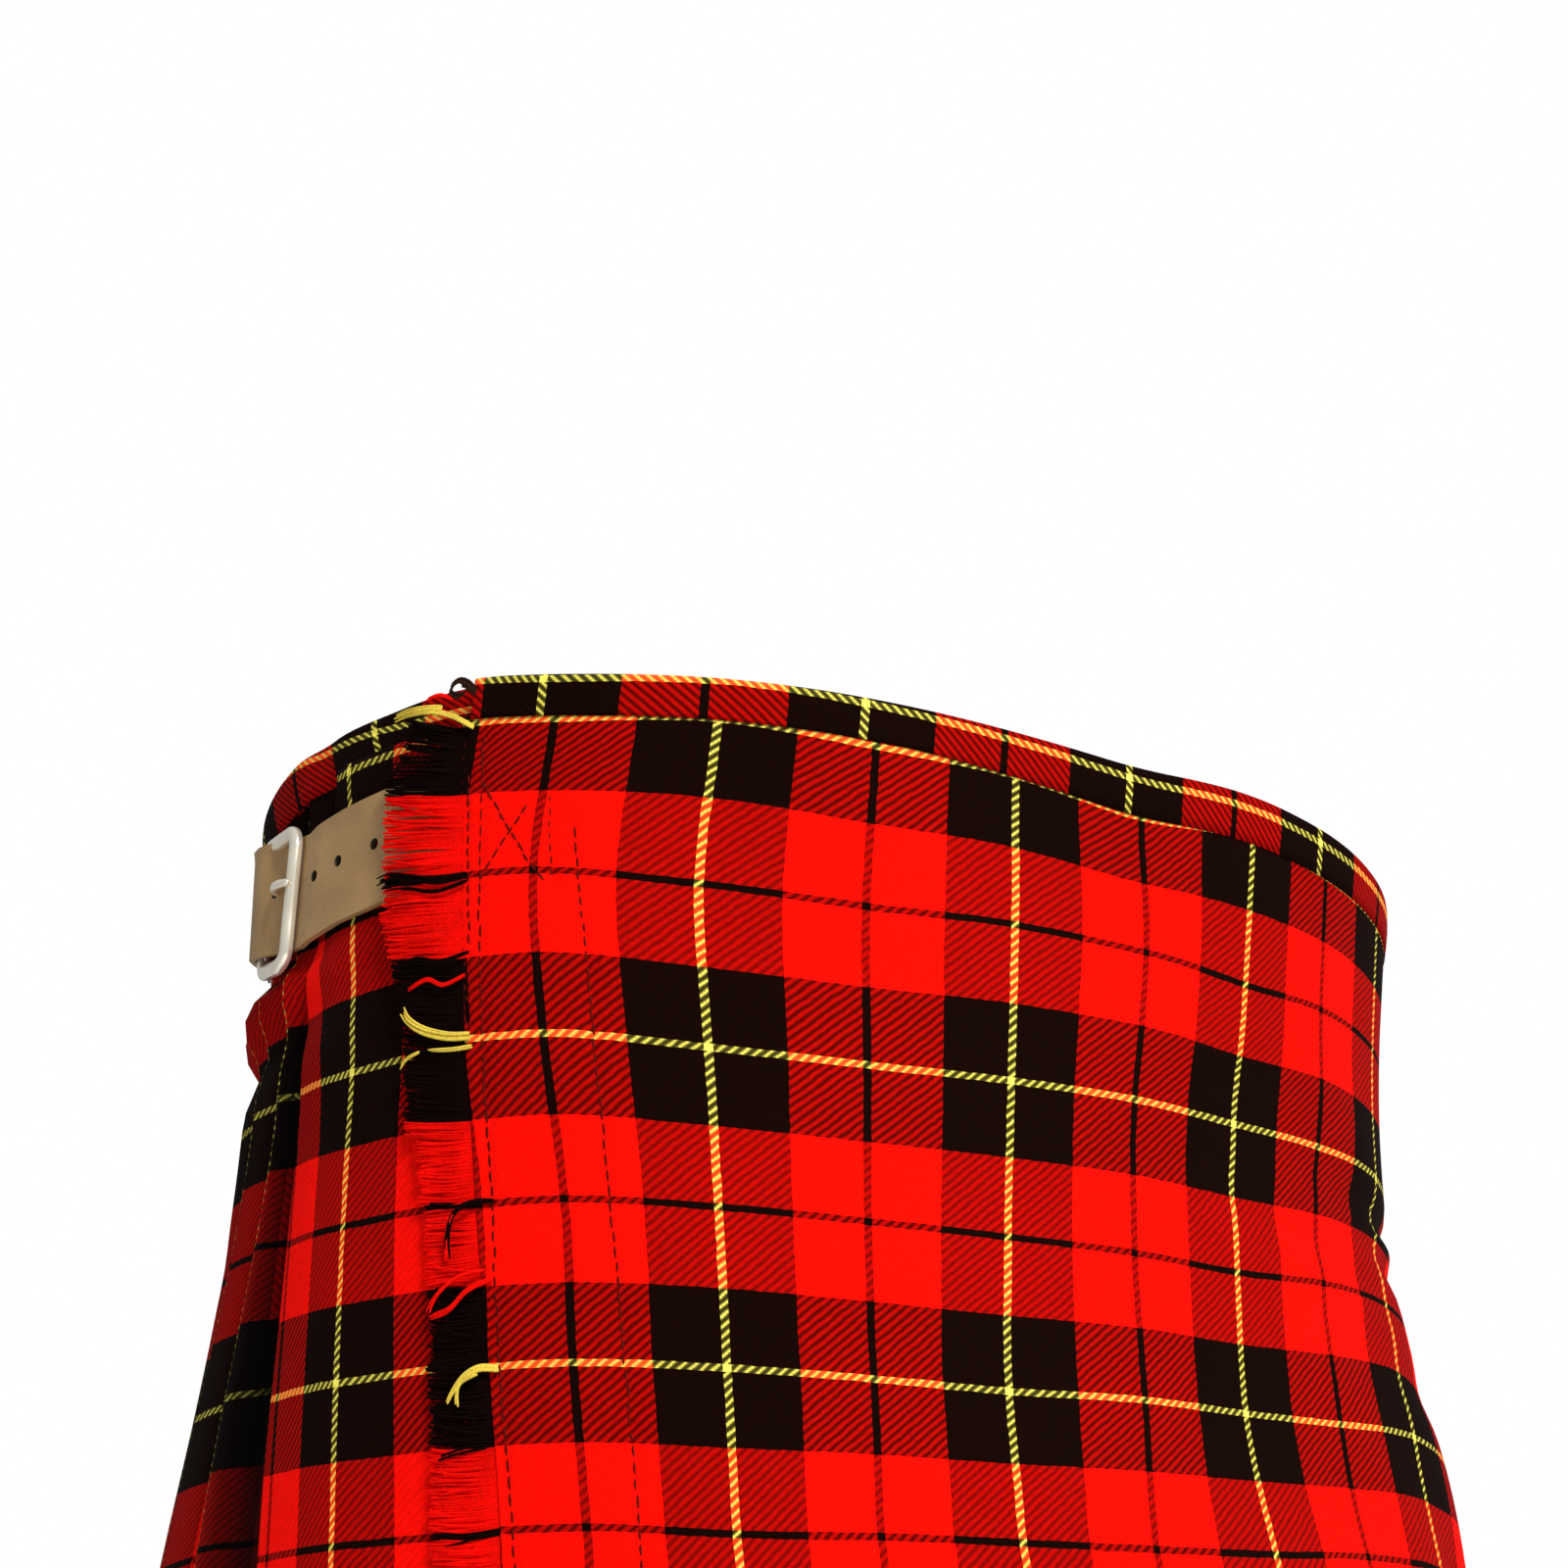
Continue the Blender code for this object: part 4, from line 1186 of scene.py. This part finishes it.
def stitch_row(path, stitch=STITCH, gap=STITCH_GAP, radius=STITCH_RADIUS):
    """Stitches along a path of arcs and drops."""
    chance = np.random.default_rng(len(path) + int(abs(path[0][0]) * 10))
    path = np.array(path, float)
    steps = np.hypot(*np.diff(path, axis=0).T)
    way = np.concatenate([[0.0], np.cumsum(steps)])
    stitches = []
    here = 0.0
    while here + stitch < way[-1]:
        long = stitch * chance.uniform(0.85, 1.1)
        side = chance.normal(0.0, STITCH_WANDER)
        points = []
        for share in (0.0, 0.18, 0.5, 0.82, 1.0):
            at = here + long * share
            arc = np.interp(at, way, path[:, 0]) + side
            drop = np.interp(at, way, path[:, 1])
            rise = 0.16 * math.sin(math.pi * share) - 0.10
            points.append(on_hip(arc, drop, on_over_apron(arc, drop) + rise))
        stitches.append((points, np.array([0.35, 0.85, 1.0, 0.85, 0.35]) * radius, 0))
        here += long + gap * chance.uniform(0.7, 1.3)
    return stitches


def seam_path(name):
    """Arcs and drops along one line of sewing."""
    line = SEWING[name]
    drops = np.arange(line[0, 0], line[-1, 0] + 0.1, 4.0)
    return [(np.interp(drop, line[:, 0], line[:, 1]), drop) for drop in drops]


stitches = []
for line_name in ("edge_inner", "inner"):
    stitches += stitch_row(seam_path(line_name))
for line_name in ("edge_outer", "edge_middle"):
    stitches += stitch_row(seam_path(line_name), 2.6, 0.5)
for path in CROSS:
    stitches += stitch_row(path, 3.0, 0.25, 0.32)
apron_stitches = thread_mesh("apron_stitches", stitches, [sewing_thread_and_shade])

# %% [markdown]
# ## Leather
# The straps are firm leather with a fine grain.  Its colour comes from two patterns: a
# large noise for the hide, and small cells for the pores, which also give the bump.  The
# insides of the punched holes are painted near black, as painted shade.  Nickel is nearly
# a mirror, so a slow smear in its roughness and colour keeps it from looking new.

# %% Leather and metal finishes
LEATHER_COLOUR = (0.36, 0.212, 0.080, 1.0)


def leather(name, colour):
    """Leather with a grain."""
    graph = Graph(name)
    place = graph.place()
    hide = graph.noise(place, 60.0, 3.0, 0.6)
    pores = graph.node("ShaderNodeTexVoronoi", feature="DISTANCE_TO_EDGE")
    graph.feed(pores.inputs["Vector"], place)
    pores.inputs["Scale"].default_value = 1400.0
    grain = graph.between(pores.outputs["Distance"], 0.0, 0.25, 0.0, 1.0)
    graph.paint(colour, graph.times(graph.vary(hide, 0.82, 1.12),
                                    graph.between(grain, 0.0, 1.0, 0.86, 1.03)))
    graph.bump(grain, 0.25, 0.0002)
    return graph.finish(0.5, specular=0.4)


def polished(name, colour, roughness):
    """Metal with a smear."""
    graph = Graph(name)
    smear = graph.noise(graph.place(), 90.0, 2.0)
    graph.paint(colour, graph.vary(smear, 0.9, 1.05))
    graph.feed(graph.shader.inputs["Roughness"],
               graph.vary(smear, roughness - 0.05, roughness + 0.07))
    return graph.finish(roughness, metallic=0.7)


strap_leather = leather("strap_leather_looks", LEATHER_COLOUR)
# painted shade: near black leather for the insides of the holes, where shade falls
hole_painted_shade = leather("hole_painted_shade_looks", (0.030, 0.020, 0.012, 1.0))
chape_leather = leather("chape_leather_looks", (0.20, 0.125, 0.06, 1.0))
nickel = polished("nickel_looks", (0.97, 0.90, 0.74, 1.0), 0.20)
print("finishes", strap_leather.name, hole_painted_shade.name, chape_leather.name, nickel.name)

# %% [markdown]
# ## The straps
# Each strap is sewn on beneath the edge of the over apron, comes out past it, and runs
# back over the far bar of the buckle to a rounded tip.  It is a grid bent along that
# path, with a Solidify modifier for its thickness.  Round punches are cut out of it for
# the holes, and a small Bevel softens its cut edges.

# %% Lay the path of a strap
STRAP_LINE = np.array([  # way past the buckle's far bar, middle of the strap, half width
    (-119.0, 22.6, 14.5), (-66.8, 23.5, 14.4), (-56.3, 24.0, 14.5), (-47.0, 24.2, 14.4),
    (-39.0, 24.9, 14.5), (-29.0, 25.7, 14.4), (-11.0, 22.3, 14.7), (0.0, 20.7, 14.4),
    (7.0, 19.0, 14.0), (38.0, 13.0, 12.5)])
LEATHER = 1.5
CHAPE_LEATHER = 0.7
LOW = 0.4
OVER = LOW + LEATHER / 2.0
STRAP_LIFT = -2.5
STEP = 6.0
TIP = 13.0
ACROSS = (-1.0, -0.94, -0.8, -0.6, -0.4, -0.2, 0.0, 0.2, 0.4, 0.6, 0.8, 0.94, 1.0)
OVER_BUCKLE = [  # way from the far bar, lift over the strap's rest
    (-18.0, 0.6), (-14.0, 1.6), (-9.0, 3.5), (-5.5, 5.0), (-2.0, 5.85), (3.0, 5.8),
    (7.0, 5.1), (13.0, 3.7), (19.0, 2.2), (25.0, 1.1), (29.0, 0.7), (33.0, 0.5),
    (36.0, 0.4), (37.5, 0.4)]
HIPS = {  # sewn end, rise, climb, near bar, far bar, sense of the strap's way
    "right": (-144.0, -194.0, [(-202.0, -2.2), (-210.0, -1.4), (-217.0, -0.5), (-223.0, 0.4)],
              -238.3, -263.0, -1.0),
    "left": (228.0, 277.0, [(281.0, -0.8), (285.0, 1.4)], 302.0, 326.0, 1.0)}


def strap_path(side):
    """Arcs and lifts along a strap, from its sewn end to its tip."""
    sewn, rise, climb, near, far, way = HIPS[side]
    path = [(sewn + (rise - sewn) * k / 6.0, STRAP_LIFT) for k in range(7)] + climb
    start = path[-1][0]
    length = (far - way * 22.0 - start) * way
    steps = max(1, int(length / STEP))
    path += [(start + way * length * k / steps, OVER + 0.2) for k in range(1, steps + 1)]
    path += [(far + way * along, OVER + lift) for along, lift in OVER_BUCKLE]
    return np.array(path)


def strap_line(side, arc):
    """Middle and half width of a strap at an arc."""
    far, way = HIPS[side][4:6]
    past = (arc - far) * way
    return (float(np.interp(past, STRAP_LINE[:, 0], STRAP_LINE[:, 1])),
            float(np.interp(past, STRAP_LINE[:, 0], STRAP_LINE[:, 2])))


def strap_places(side):
    """Grid of places: along the strap, and across it from edge to edge."""
    way = HIPS[side][5]
    path = strap_path(side)
    fine = smooth_between(path, np.linspace(0.0, len(path) - 1.0, 4 * len(path)))
    tip = fine[-1, 0]
    places = []
    for share in ACROSS:
        line = []
        for arc, lift in fine:
            to_tip = (tip - arc) * way
            middle, half = strap_line(side, arc)
            if to_tip < TIP:
                half *= 0.42 + 0.58 * math.sqrt(max(0.0, 1.0 - (1.0 - to_tip / TIP) ** 2))
            line.append(level([arc], middle + share * half, [lift])[0])
        places.append(line)
    return np.array(places)


print("right strap is", round(abs(np.diff(strap_path("right")[[0, -1], 0])[0])), "mm long")

# %% Make the straps
HOLES = {"right": (-202.4, -217.5, -228.4, -252.2), "left": (293.0, 318.0)}
HOLE_RISE = 1.4
HOLE_RADIUS = 1.55


def punch(side):
    """Punches that cut the holes of one strap, as one mesh."""
    path = strap_path(side)
    path = path[np.argsort(path[:, 0])]
    shape = bmesh.new()
    for arc in HOLES[side]:
        drop = strap_line(side, arc)[0] - HOLE_RISE
        lift = float(np.interp(arc, path[:, 0], path[:, 1]))
        turn = outward(arc, drop).to_track_quat("Z", "Y").to_matrix().to_4x4()
        turn.translation = spot(arc, drop, lift)
        bmesh.ops.create_cone(shape, cap_ends=True, segments=20, radius1=HOLE_RADIUS * MM,
                              radius2=HOLE_RADIUS * MM, depth=6.0 * MM, matrix=turn)
    mesh = mesh_of(shape, side + "_punch")
    # the walls of the holes take the near black leather, as painted shade
    mesh.materials.append(hole_painted_shade)
    return into_scene(side + "_punch", mesh)


def make_strap(side):
    """One strap with its holes cut and its edges softened."""
    places = strap_places(side)
    rows, columns = places.shape[:2]
    uv = np.stack(np.meshgrid(np.linspace(0, 1, columns), np.linspace(0, 1, rows)), axis=-1)
    strap = cloth(side + "_strap_leather", places, uv, strap_leather, LEATHER)
    cutter = punch(side)
    cut = strap.modifiers.new("holes", "BOOLEAN")
    cut.operation = "DIFFERENCE"
    cut.solver = "EXACT"
    cut.material_mode = "TRANSFER"
    cut.object = cutter
    shape = strap.evaluated_get(bpy.context.evaluated_depsgraph_get())
    holed = bpy.data.meshes.new_from_object(shape)
    holed.name = strap.name
    strap.modifiers.clear()
    strap.data = holed
    bpy.data.objects.remove(cutter, do_unlink=True)
    holed.set_sharp_from_angle(angle=math.radians(40.0))
    soft = strap.modifiers.new("edge", "BEVEL")
    soft.width = 0.35 * MM
    soft.segments = 2
    soft.limit_method = "ANGLE"
    soft.angle_limit = math.radians(50.0)
    return strap


straps = {side: make_strap(side) for side in HIPS}

# %% [markdown]
# ## The buckles
# A kilt's buckle is a plain frame with one prong.  The frame's bar is swept round: small
# rings of points are set across the path and bridged one to the next with bridge_loops.
# The bar is a little wider than it is thick, with a flattened front that catches light.
# The far bar, which the leather covers, is slimmer.  The prong is swept in the same way.

# %% Sweep a bar round a path
def sweep(name, path, across, half_wide, half_thick, closed, material):
    """Bar along a path of vectors; across gives the bar's outer side at each point."""
    shape = bmesh.new()
    rings = []
    count = len(path)
    for k, middle in enumerate(path):
        before = path[(k - 1) % count] if closed or k else path[0]
        after = path[(k + 1) % count] if closed or k < count - 1 else path[-1]
        run = (after - before).normalized()
        up = (across[k] - run * across[k].dot(run)).normalized()
        side = run.cross(up)
        made = bmesh.ops.create_circle(shape, segments=12, radius=1.0)["verts"]
        for vert in made:
            squared = [math.copysign(abs(value) ** 0.8, value) for value in vert.co.xy]
            vert.co = (middle + side * (squared[0] * half_wide[k] * MM)
                       + up * (squared[1] * half_thick[k] * MM))
        rings.append([edge for edge in shape.edges
                      if edge.verts[0] in made and edge.verts[1] in made])
    pairs = list(zip(rings, rings[1:]))
    if closed:
        pairs.append((rings[-1], rings[0]))
    for first, second in pairs:
        bmesh.ops.bridge_loops(shape, edges=first + second)
    if not closed:
        for ring in (rings[0], rings[-1]):
            bmesh.ops.holes_fill(shape, edges=ring)
    bmesh.ops.recalc_face_normals(shape, faces=shape.faces[:])
    return show(name, mesh_of(shape, name), material)


# %% Make the buckles
BUCKLE_HEIGHT = 34.6
FRAME_NEAR = 26.9  # drop of the middle of each bar
FRAME_FAR = 22.4
FAR_LIFT = 4.3
WIRE_RADIUS = 1.45
CORNER = 4.4
BAR = (2.1, 1.6)  # half width and half thickness
SLIM_BAR = (1.3, 0.95)
PRONG_RINGS = 21
PRONG = ((0, 3, 14, 18, 20), (0.9, 1.25, 1.15, 1.0, 0.55), (0.8, 1.05, 0.95, 0.85, 0.45))


def frame_path(side):
    """Round-cornered ring of a buckle's frame, which leans a little up to the back."""
    near, far, way = HIPS[side][3:6]
    near_lift = OVER + 0.5 + LEATHER / 2.0 + 0.4 + WIRE_RADIUS
    half = BUCKLE_HEIGHT / 2.0
    reach = abs(near - far) / 2.0
    marks = []
    for quarter in range(4):
        sign_a = 1.0 if quarter in (0, 3) else -1.0
        sign_d = 1.0 if quarter in (0, 1) else -1.0
        for k in range(8):
            turn = (quarter + k / 7.0) * math.pi / 2.0
            marks.append((sign_a * (reach - CORNER) + CORNER * math.cos(turn),
                          sign_d * (half - CORNER) + CORNER * math.sin(turn)))
        along, down = marks[-1]
        if quarter in (1, 3):
            marks += [(along, down * (1.0 - k / 2.5)) for k in range(1, 5)]
    points, sides, slim = [], [], []
    for along, down in marks:
        share = (along / reach + 1.0) / 2.0
        lift = FAR_LIFT + (near_lift - FAR_LIFT) * share
        arc = (near + far) / 2.0 - way * along
        drop = FRAME_FAR + (FRAME_NEAR - FRAME_FAR) * share + down * (0.93 + 0.07 * share)
        points.append(spot(arc, drop, lift))
        sides.append(outward(arc, drop))
        slim.append(share < 0.02 and abs(down) < half - CORNER)
    return points, sides, slim, near_lift


def make_buckle(side):
    """Frame and prong of one buckle."""
    near, way = HIPS[side][3], HIPS[side][5]
    points, sides, slim, near_lift = frame_path(side)
    half_wide, half_thick = zip(*[SLIM_BAR if thin else BAR for thin in slim])
    ring = sweep(side + "_buckle_frame", points, sides, half_wide, half_thick, True, nickel)
    # the prong comes out of its hole, over the near bar, and ends bent down
    hole = HOLES[side][-1]
    tip_lift = near_lift + 1.6 + 0.95
    root_lift = OVER + 3.4
    path = [(hole - way * 0.5, root_lift - 1.3), (hole - way * 2.4, root_lift + 0.9),
            ((hole + near) / 2.0, tip_lift + 0.1), (near + way * 2.5, tip_lift + 0.3),
            (near, tip_lift), (near - way * 2.6, tip_lift - 0.5)]
    fine = smooth_between(np.array(path), np.linspace(0.0, len(path) - 1.0, PRONG_RINGS))
    drops = [strap_line(side, arc)[0] - HOLE_RISE for arc, lift in fine]
    middle = [spot(arc, drop, lift) for drop, (arc, lift) in zip(drops, fine)]
    off = [outward(arc, drop) for drop, (arc, lift) in zip(drops, fine)]
    half_wide, half_thick = [np.interp(range(PRONG_RINGS), PRONG[0], sizes)
                             for sizes in PRONG[1:]]
    prong = sweep(side + "_buckle_prong", middle, off, half_wide, half_thick, False, nickel)
    return ring, prong


buckles = {side: make_buckle(side) for side in HIPS}
print("buckle frame is", BUCKLE_HEIGHT, "mm high")

# %% [markdown]
# ## The chapes
# A chape is the short folded leather that holds the frame's far bar.  It lies under the
# strap and its loop goes round the bar, so one section, bent like a hairpin, is repeated
# across it, and the same cloth function makes its wall.

# %% Make the chapes
CHAPE_START = [(18.0, 0.75), (13.0, 1.0), (8.0, 1.7), (4.0, 2.5)]  # way past the bar, lift


def make_chape(side):
    """Folded leather that holds the far bar of the frame."""
    far, way = HIPS[side][4:6]
    inner = SLIM_BAR[1] + 0.1 + CHAPE_LEATHER / 2.0
    loop = [(far + way * along, lift) for along, lift in CHAPE_START]
    for k in range(13):
        turn = -math.pi / 2.0 + k * math.pi / 12.0
        loop.append((far - way * inner * math.cos(turn), FAR_LIFT + inner * math.sin(turn)))
    loop.append((far + way * 5.0, FAR_LIFT + inner - 0.7))
    high = FRAME_FAR - BUCKLE_HEIGHT / 2.0 + 5.4
    drops = np.linspace(high, 2.0 * FRAME_FAR - high, 9)
    places = np.array([[level([arc], drop, [lift])[0] for arc, lift in loop] for drop in drops])
    uv = np.zeros(places.shape[:2] + (2,))
    return cloth(side + "_chape_leather", places, uv, chape_leather, CHAPE_LEATHER)


chapes = {side: make_chape(side) for side in HIPS}

# %% [markdown]
# ## Floor and light
# The photograph has a plain white ground and soft light from the front.  A large pale
# floor lies just below the hem, and two area lights stand in front, one high and one
# low.  The world is white where it is seen, but it lights the cloth less, so that folds
# stay dark inside.

# %% Floor, world and lights
FLOOR = -0.6045
ground_shape = bmesh.new()
bmesh.ops.create_grid(ground_shape, x_segments=1, y_segments=1, size=3.0)
bmesh.ops.translate(ground_shape, verts=ground_shape.verts[:], vec=(0.0, 0.0, FLOOR))
ground = into_scene("ground", mesh_of(ground_shape, "ground"))
floor_graph = Graph("pale_floor")
floor_graph.paint((0.86, 0.86, 0.86, 1.0),
                  floor_graph.vary(floor_graph.noise(floor_graph.place(), 3.0, 2.0), 0.99, 1.01))
ground.data.materials.append(floor_graph.finish(0.8, specular=0.2))

ROOM_LIGHT = 0.42
world = bpy.data.worlds.new("white_room")
bpy.context.scene.world = world
world.use_nodes = True
room = world.node_tree
room.nodes["Background"].inputs["Color"].default_value = (1.0, 1.0, 1.0, 1.0)
paths = room.nodes.new("ShaderNodeLightPath")
seen = room.nodes.new("ShaderNodeMath")
seen.operation = "MULTIPLY_ADD"
seen.inputs[1].default_value = 1.0 - ROOM_LIGHT
seen.inputs[2].default_value = ROOM_LIGHT
room.links.new(paths.outputs["Is Camera Ray"], seen.inputs[0])
room.links.new(seen.outputs[0], room.nodes["Background"].inputs["Strength"])


def soft_light(name, place, target, size, power):
    """A round area light aimed at a point."""
    lamp = bpy.data.lights.new(name, "AREA")
    lamp.energy = power
    lamp.shape = "DISK"
    lamp.size = size
    obj = into_scene(name, lamp)
    obj.location = place
    aim = Vector(target) - Vector(place)
    obj.rotation_euler = aim.to_track_quat("-Z", "Y").to_euler()


soft_light("key_light", (-0.5, -1.9, 1.25), (0.0, 0.0, -0.15), 0.7, 60.0)
soft_light("fill_light", (1.3, -1.9, 0.1), (0.0, 0.0, -0.3), 1.2, 14.0)
print("floor at", FLOOR, "m, room light", ROOM_LIGHT)

# %% [markdown]
# ## What each piece is
# Every piece rides on the kilt's only body.  The cloth pieces stand for the plain solids
# of the CAD.

# %% Riding and replacing
PIECES = [  # piece, CAD nodes that it stands for, slot
    (over_apron, ("over_apron",), "over_apron_wool"),
    (under_apron, ("under_apron",), "under_apron_wool"),
    (pleated_back, ("pleated_back",), "pleated_wool"),
    (waistband, ("waistband",), "waistband_wool"),
    (fringe, ("apron_fringe",), "fringe_wool"),
    (loose_ends, (), "fringe_wool"),
    (apron_stitches, (), "over_apron_wool"),
    (straps["right"], ("right_strap",), "strap_leather"),
    (straps["left"], ("left_strap",), "strap_leather"),
    (buckles["right"][0], ("right_buckle",), "buckle_nickel"),
    (buckles["left"][0], ("left_buckle",), "buckle_nickel"),
    (buckles["right"][1], ("right_prong",), "buckle_nickel"),
    (buckles["left"][1], ("left_prong",), "buckle_nickel"),
    (chapes["right"], ("right_chape",), "strap_leather"),
    (chapes["left"], ("left_chape",), "strap_leather")]
for piece, nodes, slot in PIECES:
    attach(piece, "root")
    if nodes:
        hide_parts(*nodes)

print("pieces", len(PIECES))
